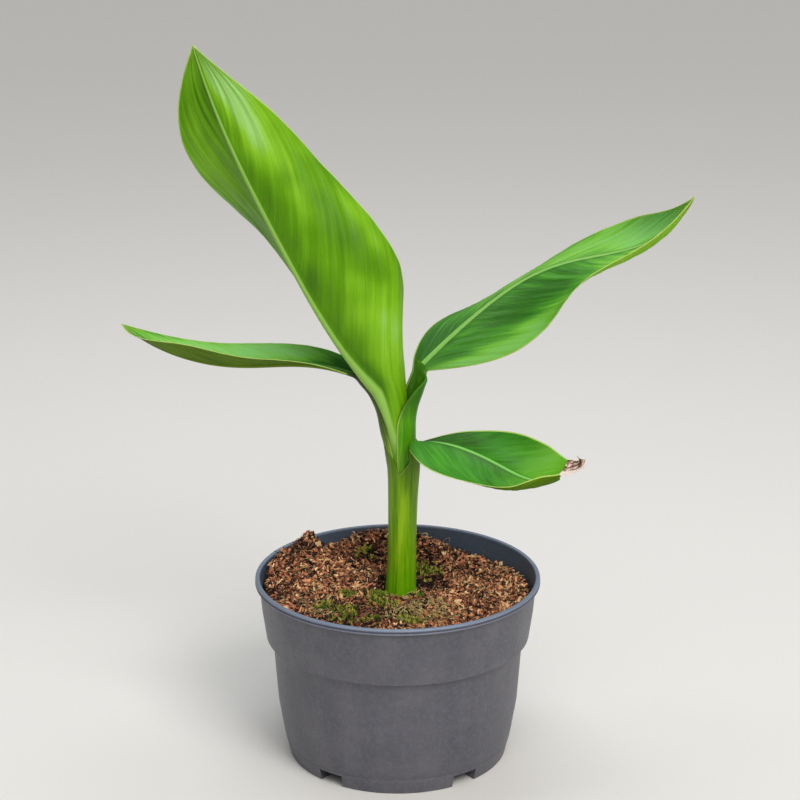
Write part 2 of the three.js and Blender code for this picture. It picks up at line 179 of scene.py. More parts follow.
def add_studio():
    """A broad soft sun from the front, two panels and a dim sky."""
    add_light("soft_day", "SUN", (0.3, -0.9, 1.25), (0, 0, 0), 1.15, (1.0, 0.99, 0.96),
              angle=math.radians(50))
    add_light("key", "AREA", (0.55, -1.0, 1.1), PLANT_MIDDLE, 9.0, (1.0, 0.985, 0.95),
              shape="RECTANGLE", size=0.6, size_y=0.6)
    add_light("overhead", "AREA", (-0.1, 0.3, 1.25), PLANT_MIDDLE, 5.0, (0.93, 0.97, 1.0),
              shape="RECTANGLE", size=0.9, size_y=0.6)
    world = bpy.data.worlds.new("studio")
    world.use_nodes = True
    background = world.node_tree.nodes["Background"]
    background.inputs["Color"].default_value = (0.97, 0.98, 1.0, 1)
    background.inputs["Strength"].default_value = 0.3
    bpy.context.scene.world = world
    bpy.context.scene.view_settings.view_transform = "Standard"


def add_floor():
    half = 9.0
    corners = [(-half, -half, 0), (half, -half, 0), (half, half, 0), (-half, half, 0)]
    mesh = bpy.data.meshes.new("floor")
    mesh.from_pydata(corners, [], [(0, 1, 2, 3)])
    paint = Paint("pale_floor")
    paint.set({"Base Color": (0.8, 0.78, 0.75, 1), "Roughness": 0.75})
    mesh.materials.append(paint.material)
    add_to_scene("floor", mesh)


# ---- materials ----
class Paint:
    """A material and short names for the nodes that this scene's materials are made of."""

    def __init__(self, name):
        self.material = bpy.data.materials.new(name)
        self.material.use_nodes = True
        self.tree = self.material.node_tree
        self.shader = self.tree.nodes["Principled BSDF"]

    def put(self, socket, value):
        if isinstance(value, bpy.types.NodeSocket):
            self.tree.links.new(value, socket)
        else:
            socket.default_value = value

    def set(self, values):
        for name, value in values.items():
            self.put(self.shader.inputs[name], value)

    def node(self, kind, inputs, output=0, **settings):
        """The output of a new node with these inputs, by name or number, and these settings."""
        node = self.tree.nodes.new("ShaderNode" + kind)
        for key, value in settings.items():
            setattr(node, key, value)
        for key, value in inputs.items():
            self.put(node.inputs[key], value)
        return node.outputs[output]

    def split(self, vector):
        node = self.tree.nodes.new("ShaderNodeSeparateXYZ")
        self.put(node.inputs[0], vector)
        return node.outputs[0:3]

    def attribute(self, name):
        """The three numbers that the mesh has under a name."""
        return self.split(self.node("Attribute", {}, "Vector", attribute_name=name))

    def join(self, x, y, z):
        return self.node("CombineXYZ", {0: x, 1: y, 2: z})

    def math(self, operation, a, b=0.0, c=0.0):
        return self.node("Math", {0: a, 1: b, 2: c}, operation=operation)

    def times(self, a, b):
        return self.math("MULTIPLY", a, b)

    def scaled(self, value, by, plus):
        """value * by + plus"""
        return self.math("MULTIPLY_ADD", value, by, plus)

    def step(self, value, low, high):
        """0 below low, 1 above high and a smooth rise between them, or a fall if low is above high."""
        ends = (low, high, 0.0, 1.0) if low < high else (high, low, 1.0, 0.0)
        names = ("From Min", "From Max", "To Min", "To Max")
        inputs = {"Value": value, **dict(zip(names, ends))}
        return self.node("MapRange", inputs, interpolation_type="SMOOTHSTEP")

    def band(self, value, low, rise_end, fall_start, high):
        """1 between the middle two values, with a smooth fall to 0 on both sides."""
        return self.times(self.step(value, low, rise_end), self.step(value, high, fall_start))

    def noise(self, vector, scale, detail, rough):
        inputs = {"Vector": vector, "Scale": scale, "Detail": detail, "Roughness": rough}
        return self.node("TexNoise", inputs)

    def cover(self, under, over, where, strength=None):
        """One colour laid over another where a value is 1, at full or a part of its strength."""
        share = where if strength is None else self.times(where, strength)
        return self.node("Mix", {0: share, 6: under, 7: over}, 2, data_type="RGBA")

    def ramp(self, value, places, colours):
        """The colours at their places along a value, blended between them."""
        node = self.tree.nodes.new("ShaderNodeValToRGB")
        elements = node.color_ramp.elements
        while len(elements) < len(colours):
            elements.new(0.5)
        for element, place, colour in zip(elements, places, colours):
            element.position = place
            element.color = colour
        self.put(node.inputs[0], value)
        return node.outputs[0]

    def bump(self, height, depth_mm, below=None):
        inputs = {"Distance": depth_mm * MM, "Height": height}
        if below is not None:
            inputs["Normal"] = below
        return self.node("Bump", inputs)

    def place_mm(self):
        """The point in the row frame, in millimetres."""
        place = self.node("NewGeometry", {}, "Position")
        return self.node("VectorMath", {0: place, "Scale": 1 / MM}, operation="SCALE")

    def finish(self, colour, roughness, normal, level, inner=()):
        """Sets the shader and gives the material back. inner, for light that runs on inside, is its
        weight, its reach in red, green and blue against each other, and that reach in metres."""
        self.set({"Base Color": colour, "Roughness": roughness, "Normal": normal,
                  "Specular IOR Level": level})
        self.set(dict(zip(("Subsurface Weight", "Subsurface Radius", "Subsurface Scale"), inner)))
        return self.material


def rgb(red, green, blue):
    """A colour given as it looks on a screen, 0 to 255, as the shader's linear values."""
    def linear(c):
        c /= 255
        return c / 12.92 if c <= 0.04045 else ((c + 0.055) / 1.055) ** 2.4
    return (linear(red), linear(green), linear(blue), 1)


MARGIN = rgb(180, 206, 108)
BURNT_END = rgb(104, 70, 34)


def leaf_paint(name, deep, body, bright, rib, tip, rib_wide, vein_gap=1.25, gloss=0.45, coat=0.05,
               vein_show=0.2, rib_shade=0.5, shine=0.3, painted_sheen=None, tip_from=0.88, tip_full=1.0,
               burnt=2.0, streaky=0.62, rib_taper=0.72, rib_foot=0.0):
    """Blade skin: streaks and fine veins along the veins' course, a pale rib with a line of painted shade
    along its sides, a thin pale margin, a tip of another green and, past the share burnt of its length, a
    brown end.
    Where the tone runs highest, a paler green, if one is given, is a painted sheen for the lamps'
    reflection."""
    p = Paint(name)
    deep, body, bright, rib, tip = (rgb(*colour) for colour in (deep, body, bright, rib, tip))
    along, lane, length = p.attribute("vein")
    from_rib, from_margin, tone_and_light_here = p.attribute("place")

    def drawn_out(way, by, lane_by, layer, detail, rough):
        """Noise with its own grain along the veins and across them."""
        return p.noise(p.join(p.times(way, by), p.times(lane, lane_by), layer), 1, detail, rough)

    streak = drawn_out(along, 0.17, 1.3, 0.0, 4, 0.62)
    hair = drawn_out(along, 1.1, 3.0, 0.0, 2, 0.5)
    cloud = drawn_out(length, 5.0, 1.2, 3.0, 2, 0.5)
    tone = p.scaled(streak, streaky, p.scaled(cloud, 0.9 - streaky, p.times(hair, 0.1)))
    # the leaf's lighter and darker patches: partly its own tone, partly painted sheen and painted shade
    tone = p.math("ADD", tone, tone_and_light_here)
    # the highest tone, if a colour is given for it, is a painted sheen: a paler green for the lamps'
    # reflection
    colours = [deep, body, bright] + ([rgb(*painted_sheen)] if painted_sheen else [])
    colour = p.ramp(tone, (0.34, 0.5, 0.66, 0.8), colours)
    # fine parallel veins
    wave = p.math("SINE", p.times(along, FULL_TURN / vein_gap))
    colour = p.cover(colour, bright, p.step(wave, 0.35, 1.0), vein_show)
    colour = p.cover(colour, tip, p.step(length, tip_from, tip_full), 0.8)
    # the rib, wider at the blade's foot, with painted shade along both its sides: a darker line as if
    # cast by its relief
    wide = p.scaled(length, -rib_taper * rib_wide, rib_wide)
    wide = p.scaled(p.step(length, 0.2, 0.0), rib_foot, wide)
    ribs = p.math("DIVIDE", from_rib, wide)
    shade = p.times(p.band(ribs, 1.0, 1.35, 1.4, 3.4), p.step(length, -0.02, 0.12))
    colour = p.cover(colour, deep, shade, rib_shade)
    on_rib = p.times(p.step(ribs, 1.25, 0.75), p.step(length, -0.2, 0.0))
    colour = p.cover(colour, rib, on_rib)
    colour = p.cover(colour, MARGIN, p.step(from_margin, 0.6, 0.3))
    colour = p.cover(colour, BURNT_END, p.step(length, burnt - 0.006, burnt))
    off_rib = p.math("SUBTRACT", 1.0, on_rib)
    fine = p.bump(p.times(p.scaled(wave, 0.5, 0.5), off_rib), 0.05)
    grain = p.noise(p.place_mm(), 3.2, 3, 0.6)
    normal = p.bump(grain, 0.04, p.bump(hair, 0.12, fine))
    p.set({"Coat Weight": coat, "Coat Roughness": 0.3})
    return p.finish(colour, p.scaled(streak, 0.22, gloss - 0.11), normal, shine,
                    (0.2, (0.35, 1.0, 0.12), 0.0016))


def sheath_paint(name, low, body, high, top=None, shade_from=0.0, shade_full=1.0):
    """Stem skin: long fine fibres, greener at the foot, with a thin pale line on a sheath's margin and,
    if a colour is given, that darker colour from one height up to the next as painted shade under the
    leaves."""
    p = Paint(name)
    x, y, z = p.split(p.place_mm())
    from_margin = p.attribute("place")[1]
    fibre = p.noise(p.join(x, y, p.times(z, 0.05)), 1.3, 4, 0.6)
    stripe = p.noise(p.join(x, y, p.times(z, 0.02)), 0.35, 2, 0.5)
    tone = p.scaled(fibre, 0.45, p.times(stripe, 0.55))
    # a lighter streak slants down across the front of the stem
    slant = p.scaled(z, -0.15, p.math("ADD", x, 15.2))
    streak = p.times(p.band(slant, -2.8, 0.0, 0.3, 3.0), p.step(z, 133.0, 119.0))
    tone = p.scaled(streak, 0.13, tone)
    colour = p.ramp(tone, (0.38, 0.52, 0.66), [rgb(*green) for green in (low, body, high)])
    colour = p.cover(colour, rgb(92, 168, 2), p.step(z, 100.0, 77.0), 0.6)
    colour = p.cover(colour, rgb(170, 200, 100), p.step(from_margin, 0.7, 0.3), 0.75)
    # painted shade: a darker colour from one height up, where the leaves and the throat shade the stem
    if top:
        colour = p.cover(colour, rgb(*top), p.step(z, shade_from, shade_full), 0.85)
    normal = p.bump(fibre, 0.1, p.bump(p.noise(p.place_mm(), 2.6, 3, 0.6), 0.03))
    return p.finish(colour, p.scaled(fibre, 0.2, 0.3), normal, 0.25, (0.15, (0.4, 1.0, 0.1), 0.002))


def dry_paint():
    """Dried leaf: pinkish white papery skin, with brown blotches away from its near margin."""
    p = Paint("dry_blade")
    spot = p.noise(p.place_mm(), 0.5, 4, 0.65)
    crinkle = p.noise(p.place_mm(), 1.6, 3, 0.6)
    lane = p.attribute("vein")[1]
    tone = p.scaled(p.step(lane, 3.0, 3.5), 0.24, p.math("SUBTRACT", spot, 0.05))
    browns = rgb(96, 64, 40), rgb(186, 146, 130), rgb(250, 228, 218)
    return p.finish(p.ramp(tone, (0.38, 0.47, 0.56), browns), 0.8, p.bump(crinkle, 0.35), 0.5,
                    (0.15, (1.0, 0.7, 0.5), 0.0012))


def pot_paint():
    """Moulded blue-grey plastic: a fine satin grain and faint flow marks, with a painted bluish
    reflection on the inner face of the wall and painted highlights and painted shade on the lip.
    """
    p = Paint("pot_plastic_grain")
    place = p.place_mm()
    x, y, z = p.split(place)
    grain = p.noise(place, 2.4, 3, 0.7)
    cloud = p.noise(place, 0.055, 4, 0.6)
    flow = p.noise(p.join(x, y, p.times(z, 0.12)), 0.16, 3, 0.5)
    tone = p.scaled(cloud, 0.6, p.times(flow, 0.4))
    colour = p.ramp(tone, (0.35, 0.5, 0.65), (rgb(74, 75, 84), rgb(84, 83, 91), rgb(95, 93, 99)))
    mottle = p.step(p.noise(place, 0.5, 5, 0.72), 0.44, 0.62)
    colour = p.cover(colour, rgb(106, 107, 120), mottle, 0.35)
    speck = p.step(p.noise(place, 1.1, 2, 0.5), 0.66, 0.74)
    colour = p.cover(colour, rgb(134, 130, 126), speck, 0.22)
    # 1 inside the middle of the wall, 0 outside it
    reach = p.math("SQRT", p.scaled(x, x, p.times(y, y)))
    middle = p.scaled(z, WALL_SLOPE, WALL_MIDDLE_RADIUS - WALL_SLOPE * WALL_MIDDLE_Z)
    inner = p.times(p.step(p.math("SUBTRACT", middle, reach), 0.0, 0.2), p.step(z, 60.0, 64.0))
    # painted reflection: the inner face of the wall is bluer, from the bluish light it reflects
    colour = p.cover(colour, rgb(76, 90, 108), inner)
    # the lip: a painted highlight on the lower bead, painted shade in the groove and a painted bluish
    # highlight on the smoother bead on top
    foot = POT_HEIGHT - LIP_DEPTH
    outer = p.math("SUBTRACT", 1.0, inner)
    bead_highlight = p.band(z, foot - 0.2, foot + 0.1, foot + 0.7, foot + 0.95)
    colour = p.cover(colour, rgb(122, 124, 138), p.times(bead_highlight, outer), 0.7)
    groove = p.band(z, foot + 0.7, foot + 0.9, foot + 1.3, foot + 1.7)
    colour = p.cover(colour, rgb(58, 68, 92), p.times(groove, outer), 0.8)
    crest_highlight = p.step(z, POT_HEIGHT - 1.1, POT_HEIGHT - 0.5)
    colour = p.cover(colour, rgb(124, 138, 160), crest_highlight, 0.85)
    rough = p.scaled(crest_highlight, -0.2, p.scaled(grain, 0.22, 0.34))
    return p.finish(colour, rough, p.bump(grain, 0.07, p.bump(flow, 0.12, p.bump(mottle, 0.07))), 0.6)


def grit_paint(name, plain):
    """One plain colour of bark, fibre or moss, with a rough dusty face."""
    p = Paint(name)
    speckle = p.noise(p.place_mm(), 1.9, 3, 0.6)
    plain = rgb(*plain)
    dark, light = (tuple(min(1.0, by * c) for c in plain[:3]) + (1,) for by in (0.75, 1.25))
    colour = p.ramp(speckle, (0.35, 0.5, 0.68), (dark, plain, light))
    return p.finish(colour, 0.88, p.bump(speckle, 0.25), 0.35)


def grit_paints(**colours):
    return [grit_paint(name, colour) for name, colour in colours.items()]


# ---- meshes from arrays ----
def add_piece(name, points, faces, materials, slot, *nodes, of=None, smooth=True, vectors=None, ring=0):
    """A mesh object on the root body. faces is a list of arrays of equal-sized faces; of gives each
    face's material, and vectors named three-number values for the points. ring is the count of points
    in each ring of a tube, whose two ends then keep sharp edges."""
    points = points.reshape(-1, 3)
    arrays = [np.asarray(f, np.int32) for f in faces]
    sizes = np.concatenate([np.full(len(f), f.shape[1], np.int32) for f in arrays])
    corners = np.concatenate([f.ravel() for f in arrays])
    mesh = bpy.data.meshes.new(name)
    mesh.vertices.add(len(points))
    mesh.vertices.foreach_set("co", (points * MM).astype(np.float32).ravel())
    mesh.loops.add(len(corners))
    mesh.loops.foreach_set("vertex_index", corners)
    mesh.polygons.add(len(sizes))
    mesh.polygons.foreach_set("loop_start", np.concatenate([[0], np.cumsum(sizes)[:-1]]).astype(np.int32))
    mesh.polygons.foreach_set("use_smooth", np.full(len(sizes), smooth))
    for material in materials:
        mesh.materials.append(material)
    if of is not None:
        mesh.polygons.foreach_set("material_index", np.asarray(of, np.int32))
    for label, values in (vectors or {}).items():
        layer = mesh.attributes.new(label, "FLOAT_VECTOR", "POINT")
        layer.data.foreach_set("vector", np.asarray(values, np.float32).ravel())
    mesh.update(calc_edges=True)
    mesh.validate()
    if ring:
        ends = np.zeros(2 * len(mesh.edges), np.int32)
        mesh.edges.foreach_get("vertices", ends)
        rings = ends.reshape(-1, 2) // ring
        last = len(points) // ring - 1
        sharp = (rings[:, 0] == rings[:, 1]) & ((rings[:, 0] == 0) | (rings[:, 0] == last))
        layer = mesh.attributes.new("sharp_edge", "BOOLEAN", "EDGE")
        layer.data.foreach_set("value", sharp)
    piece = add_to_scene(name, mesh)
    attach(piece, "root")
    if nodes:
        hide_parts(*nodes)
    return piece


def ring_quads(rings, count):
    """Quads of a tube through rings of equal point counts, numbered ring after ring."""
    r, k = np.meshgrid(np.arange(rings - 1), np.arange(count), indexing="ij")
    a = r * count + k
    b = r * count + (k + 1) % count
    return np.stack([a, b, b + count, a + count], -1).reshape(-1, 4)


def capped_tube(rings, count):
    """Faces of a tube, with a flat face at each end."""
    first = np.arange(count)[None]
    return [ring_quads(rings, count), first[:, ::-1], first + (rings - 1) * count]


def strip_ends(rings, count, columns, far):
    """Quads that close both ends of a flat tube, whose point far - k lies under its point k."""
    k = np.arange(columns - 1)
    first = np.stack([k, far - k, far - 1 - k, k + 1], -1)
    return [first, first[:, ::-1] + (rings - 1) * count]


def faces_in(points, faces):
    """Whether the closed body that quads make has its faces pointing in."""
    a, b, c, d = (points[faces[:, i]] for i in range(4))
    volume = np.einsum("ij,ij->i", a, np.cross(b, c)) + np.einsum("ij,ij->i", a, np.cross(c, d))
    return volume.sum() <= 0


def round_rings(angle, z, wide, deep, x=0.0, y=0.0):
    """Points on level ellipses about x, y."""
    return np.stack([x + wide * np.cos(angle), y + deep * np.sin(angle), z + 0 * angle], -1)


def circle(count):
    """Angles evenly round a full turn."""
    return np.linspace(0, FULL_TURN, count, endpoint=False)


def unit(vectors):
    return vectors / np.maximum(np.linalg.norm(vectors, axis=-1, keepdims=True), 1e-9)


def smoothstep(x, low, high):
    t = np.clip((np.asarray(x, float) - low) / (high - low), 0, 1)
    return t * t * (3 - 2 * t)


def hermite(t, start, leave, end, arrive):
    """A smooth curve from start to end that sets out along leave and comes in along arrive."""
    return ((2 * t**3 - 3 * t**2 + 1) * start + (t**3 - 2 * t**2 + t) * leave
            + (3 * t**2 - 2 * t**3) * end + (t**3 - t**2) * arrive)


def smooth(knots, s):
    """Value at s in 0..1 of a smooth curve through evenly spaced knots."""
    v = np.asarray(knots, float)
    n = len(v) - 1
    x = np.clip(s, 0, 1) * n
    i = np.minimum(x.astype(int), n - 1)
    before, a, b, after = v[np.maximum(i - 1, 0)], v[i], v[i + 1], v[np.minimum(i + 2, n)]
    leave = np.where(i == 0, b - a, (b - before) / 2)
    arrive = np.where(i + 2 > n, b - a, (after - a) / 2)
    return hermite(x - i, a, leave, b, arrive)


# ---- leaves ----
NARROWEST = 0.25  # half width that a blade keeps at its ends
FLATTEST = 0.001  # curl in radians that a flat half still has
BLADE = 0.5  # thickness of a blade


def midrib(leaf, steps):
    """Stations from the foot to the tip: share s, point, direction, side and up vectors."""
    s = np.linspace(0, 1, steps + 1)
    bearing, rise, roll = (np.radians(smooth(leaf[k], s)) for k in ("bearing", "rise", "roll"))
    ahead = np.stack([np.cos(rise) * np.cos(bearing), np.cos(rise) * np.sin(bearing), np.sin(rise)], -1)
    at = np.vstack([[0, 0, 0], np.cumsum((ahead[1:] + ahead[:-1]) / 2 * leaf["length"] / steps, 0)])
    level = np.stack([-np.sin(bearing), np.cos(bearing), 0 * bearing], -1)
    over = np.cross(ahead, level)
    c, n = np.cos(roll)[:, None], np.sin(roll)[:, None]
    return s, at + np.array(leaf["foot"], float), ahead, c * level + n * over, c * over - n * level


def half_width(leaf, side, s):
    """Width of one half: a rise to its widest place and a fall to the tip."""
    widest, base, tip, share = leaf["shape"][side]
    rising = share + (1 - share) * (1 - (1 - np.minimum(s / widest, 1)) ** base)
    falling = 1 - (np.maximum(s - widest, 0) / (1 - widest)) ** tip
    width = leaf["width"][side] * np.where(s < widest, rising, falling)
    return np.maximum(width, NARROWEST)


def pleats(leaf, along, u, s, side):
    """Height of the soft folds that follow the veins, away from the rib, the margin and both ends."""
    gap, height = leaf["pleat"]
    phase = FULL_TURN * along / gap
    wave = 0.6 * np.sin(phase + 1.5 * np.sin(3.1 * u + 2 * side) + 1.7 * side)
    wave = wave + 0.4 * np.sin(1.63 * phase + 2.1 + 0.9 * side)
    fade = smoothstep(u, 0.03, 0.3) * (1 - 0.7 * smoothstep(u, 0.75, 1)) * smoothstep(s, 0.02, 0.15)
    return height * wave * fade * (1 - smoothstep(s, 0.85, 1))


def tone_and_light_at(leaf, side, s, u):
    """How much lighter or darker the skin is at a place on the blade, from the leaf's patches: partly its
    own tone and partly painted sheen and painted shade.
    """
    total = 0 * s * u
    for where, at_s, at_u, reach_s, reach_u, amount in leaf.get("tone_and_light_patches", []):
        if where == side:
            far = ((s - at_s) / reach_s) ** 2 + ((u - at_u) / reach_u) ** 2
            total = total + amount * np.exp(-far)
    return total


def blade_side(leaf, side, stations, u):
    """Middle surface of one half of the blade: points, normals and the values that its paint reads."""
    s, at, ahead, across, up = stations
    fold = np.radians(smooth(leaf["fold"][side], s))[:, None]
    curl = np.radians(smooth(leaf["curl"][side], s))[:, None]
    curl = np.where(np.abs(curl) < FLATTEST, FLATTEST, curl)
    width = half_width(leaf, side, s)[:, None]
    turn = fold + curl * u
    out = width / curl * (np.sin(turn) - np.sin(fold))
    lift = width / curl * (np.cos(fold) - np.cos(turn))
    sign = 1 if side == 0 else -1
    point = at[:, None] + sign * out[..., None] * across[:, None] + lift[..., None] * up[:, None]
    normal = np.cos(turn)[..., None] * up[:, None] - sign * np.sin(turn)[..., None] * across[:, None]
    # the margin may run back at the foot as a rounded lobe, and ahead at the tip
    lobe = leaf.get("lobe", [0, 0])[side] * (1 - smoothstep(s, 0, 0.3))[:, None] * u**1.3
    point = point - lobe[..., None] * ahead[:, None]
    sweep = leaf.get("sweep", [0, 0])[side] * smoothstep(s, 0.6, 1)[:, None] * u**1.3
    point = point + sweep[..., None] * ahead[:, None]
    along = s[:, None] * leaf["length"] - leaf["lean"] * u**1.25
    folds = pleats(leaf, along, u, s[:, None], side)
    vein = np.stack([along, u + 3 * side + 0 * s[:, None], s[:, None] + 0 * u], -1)
    place = np.stack([width * u, width * (1 - u), tone_and_light_at(leaf, side, s[:, None], u)], -1)
    return point, normal, folds, vein, place, u + 0 * width


def spread(columns):
    """Shares from the midrib to the margin, closer together near the midrib."""
    return np.linspace(0, 1, columns + 1)[None] ** 1.45


def blade_skins(leaf, steps, columns, thick=BLADE):
    """Upper and lower skins of a blade, ring by ring from the margin of side 0 over the midrib to the
    margin of side 1, with a keel under the midrib and a groove over it, and the paint's values."""
    stations = midrib(leaf, steps)
    s = stations[0]
    halves = [blade_side(leaf, side, stations, spread(columns)) for side in (0, 1)]
    point, normal, folds, vein, place, share = (
        np.concatenate([halves[0][i][:, ::-1], halves[1][i][:, 1:]], 1) for i in range(6))
    normal[:, columns] = stations[4]
    from_rib = place[..., 0]
    keel_deep, keel_wide = leaf["keel"]
    wide = keel_wide * (1 - 0.72 * s)[:, None]
    ridge = np.clip(1 - (from_rib / (1.5 * wide)) ** 2, 0, 1) ** 1.2
    keel = keel_deep * (1 - 0.88 * s)[:, None] * ridge
    groove = 0.35 * keel_deep * (1 - 0.8 * s)[:, None] * np.exp(-(from_rib / (0.75 * wide)) ** 2)
    half = thick / 2 * (1 - 0.45 * share**6)
    upper = point + normal * (half + folds - groove)[..., None]
    lower = point + normal * (folds - half - keel)[..., None]
    return upper, lower, vein, place


def add_skins(name, upper, lower, vein, place, materials, slot, *nodes):
    """One closed body from two skins, with a rounded margin between them."""
    mid = (upper[:, [0, -1]] + lower[:, [0, -1]]) / 2
    beside = (upper[:, [1, -2]] + lower[:, [1, -2]]) / 2
    gap = np.linalg.norm(upper[:, [0, -1]] - lower[:, [0, -1]], axis=-1, keepdims=True)
    rim = mid + unit(mid - beside) * gap * 0.45
    ring = np.concatenate([upper, rim[:, 1:], lower[:, ::-1], rim[:, :1]], 1)
    rings, count = ring.shape[:2]
    columns = upper.shape[1]

    def around(values):
        return np.concatenate([values, values[:, -1:], values[:, ::-1], values[:, :1]], 1).reshape(-1, 3)

    corners = np.array([[0, 2 * columns + 1, 2 * columns], [columns - 1, columns + 1, columns]])
    tris = np.concatenate([corners, corners[:, ::-1] + (rings - 1) * count])
    quads = np.concatenate([ring_quads(rings, count), *strip_ends(rings, count, columns, 2 * columns)])
    if faces_in(ring.reshape(-1, 3), quads):
        quads, tris = quads[:, ::-1], tris[:, ::-1]
    # the upper skin and both ends take the first material, the margins and the lower skin the last
    of = np.zeros(len(quads) + len(tris), int)
    of[:(rings - 1) * count] = np.tile(np.arange(count) >= columns - 1, rings - 1)
    of *= len(materials) - 1
    add_piece(name, ring, [quads, tris], materials, slot, *nodes, of=of, ring=count,
              vectors={"vein": around(vein), "place": around(place)})


def add_blade(name, leaf, steps, columns, materials, slot, node, thick=BLADE):
    """A leaf's blade from where its stalk's skin ends."""
    rings = slice(leaf.get("start", 0), leaf.get("stop"))
    skins = (skin[rings] for skin in blade_skins(leaf, steps, columns, thick))
    add_skins(name, *skins, materials, slot, node)


# ---- stem, sheaths and stalks ----
def curve_through(rows, steps):
    """Rows of numbers, smoothly filled in to an even count of stations."""
    rows = np.asarray(rows, float)
    s = np.linspace(0, 1, steps + 1)
    return np.stack([smooth(rows[:, i], s) for i in range(rows.shape[1])], -1)


# the paint counts a stalk's skin as this long, its veins as leaning this much, and shares of its
# length as shares of a blade this long
STALK_LENGTH, STALK_LEAN, BLADE_LENGTH = 40, 20, 130


def gutter_skins(rows, steps, columns):
    """Upper and lower skins of an open gutter. A row is: centre x, y, z; direction that the back faces
    x, y, z; half sizes towards the back and the sides; angle from the back to the margin of side 0 and
    of side 1 in degrees; thickness at the back and at the margins."""
    rows = curve_through(rows, steps)
    centre, back = rows[:, 0:3], rows[:, 3:6]
    deep, wide, reach_0, reach_1, back_wall, margin_wall = (rows[:, i:i + 1] for i in range(6, 12))
    ahead = unit(np.gradient(centre, axis=0))
    back = unit(back - ahead * np.sum(back * ahead, 1, keepdims=True))
    side = np.cross(ahead, back)
    u = spread(columns)
    share = np.concatenate([u[:, ::-1], -u[:, 1:]], 1)
    reach = np.radians(np.where(share > 0, reach_0, reach_1))
    angle = share * reach
    u = np.abs(share)
    wall = margin_wall + (back_wall - margin_wall) * np.cos(np.pi / 2 * u) ** 1.3
    direction = np.cos(angle)[..., None] * back[:, None] + np.sin(angle)[..., None] * side[:, None]
    lower = centre[:, None] + (deep * np.cos(angle))[..., None] * back[:, None]
    lower = lower + (wide * np.sin(angle))[..., None] * side[:, None]
    upper = lower - wall[..., None] * direction
    arc = reach * (deep + wide) / 2
    place = np.stack([arc * u, arc * (1 - u), 0 * arc], -1)
    run = np.linspace(-STALK_LENGTH, 0, steps + 1)[:, None]
    lane = u + np.where(share > 0, 0, 3)
    vein = np.stack([run - STALK_LEAN * u, lane + 0 * run, run / BLADE_LENGTH + 0 * share], -1)
    return upper, lower, vein, place


def joined(t, first, second, reach):
    """Rings that lead smoothly from the last ring of one set to the first ring of another."""
    leave = first[-1] - first[-2]
    arrive = second[1] - second[0]
    leave = leave / np.linalg.norm(leave, axis=-1, keepdims=True).mean() * reach
    arrive = arrive / np.linalg.norm(arrive, axis=-1, keepdims=True).mean() * reach
    return hermite(t, first[-1], leave, second[0], arrive)


def add_stalk(name, leaf, rows, materials, columns, leaf_rings, node, reach):
    """A leaf's sheath and stalk in one piece, up to and a little into the foot of its blade."""
    stalk_rings, join_rings = 60, 16
    gutter = gutter_skins(rows, stalk_rings, columns)
    first = leaf.get("start", 0)
    blade = [v[first:first + 3] for v in blade_skins(leaf, leaf_rings, columns)]
    t = np.linspace(0, 1, join_rings + 1)[1:-1, None, None]
    skins = []
    for i, (below, above) in enumerate(zip(gutter, blade)):
        is_skin = i < 2  # the other two are the paint's values
        middle = joined(t, below, above, reach) if is_skin else (1 - t) * below[-1] + t * above[0]
        skins.append(np.concatenate([below, middle, above[:1]]))
    add_skins(name, *skins, materials, "stem", node)


CORE = [  # z, x of the axis, y of the axis, half width, half depth
    [74.7, 1.3, 0, 6.4, 6.2], [80, 1.5, 0, 6.2, 6.0], [92, 1.8, 0, 5.9, 5.9], [107, 2.0, 0, 5.8, 5.9],
    [122, 2.3, 0, 6.0, 6.0], [134, 2.3, 0, 6.1, 5.9], [146, 1.2, 0, 5.0, 4.8], [152, 0.6, 0, 4.2, 3.8],
]


def add_core(material):
    """The youngest sheaths inside the stem, from its flat foot to where the stalks part."""
    sides, steps = 72, 60
    rows = curve_through(CORE, steps)
    z, x, y, wide, deep = (rows[:, i:i + 1] for i in range(5))
    ring = round_rings(circle(sides), z, wide, deep, x, y)
    far_from_margin = np.full((ring.size // 3, 3), 50.0)
    add_piece("stem_core", ring, capped_tube(steps + 1, sides), [material], "stem", "pseudostem",
              vectors={"place": far_from_margin})


SHEATH_FRONT = math.radians(-109.5)  # where its two margins meet, towards the camera
SHEATH_WALL = 0.45
SHEATH_LAP = 0.25
SHEATH_RADIUS = 7.0  # about, for the slope of its edge
SHEATH_EDGE = np.array([  # degrees from the V by the right, the back and the left; height of the edge
    [0, 134.4], [15, 136.4], [30, 138.6], [45, 141.2], [55, 143.6], [70, 146], [95, 147.5],
    [150, 149.5], [240, 149.5], [290, 148], [325, 145.6], [340, 143.6], [350, 141], [356, 138],
    [360, 134.4]])
SHEATH_GIRTH = np.array([  # z, x of the axis, y of the axis, half width, half depth
    [75, 1.3, 0, 7.1, 6.9], [84, 1.6, 0, 6.8, 6.7], [92, 1.9, 0, 6.5, 6.6], [107, 2.1, 0, 6.4, 6.6],
    [122, 2.35, 0, 6.7, 6.8], [130, 2.6, 0, 7.0, 6.9], [136, 2.7, 0, 7.4, 7.0], [142, 2.2, 0, 7.8, 7.0],
    [148, 1.3, 0, 7.7, 6.8], [154, 0.0, 0, 8.1, 6.6]])


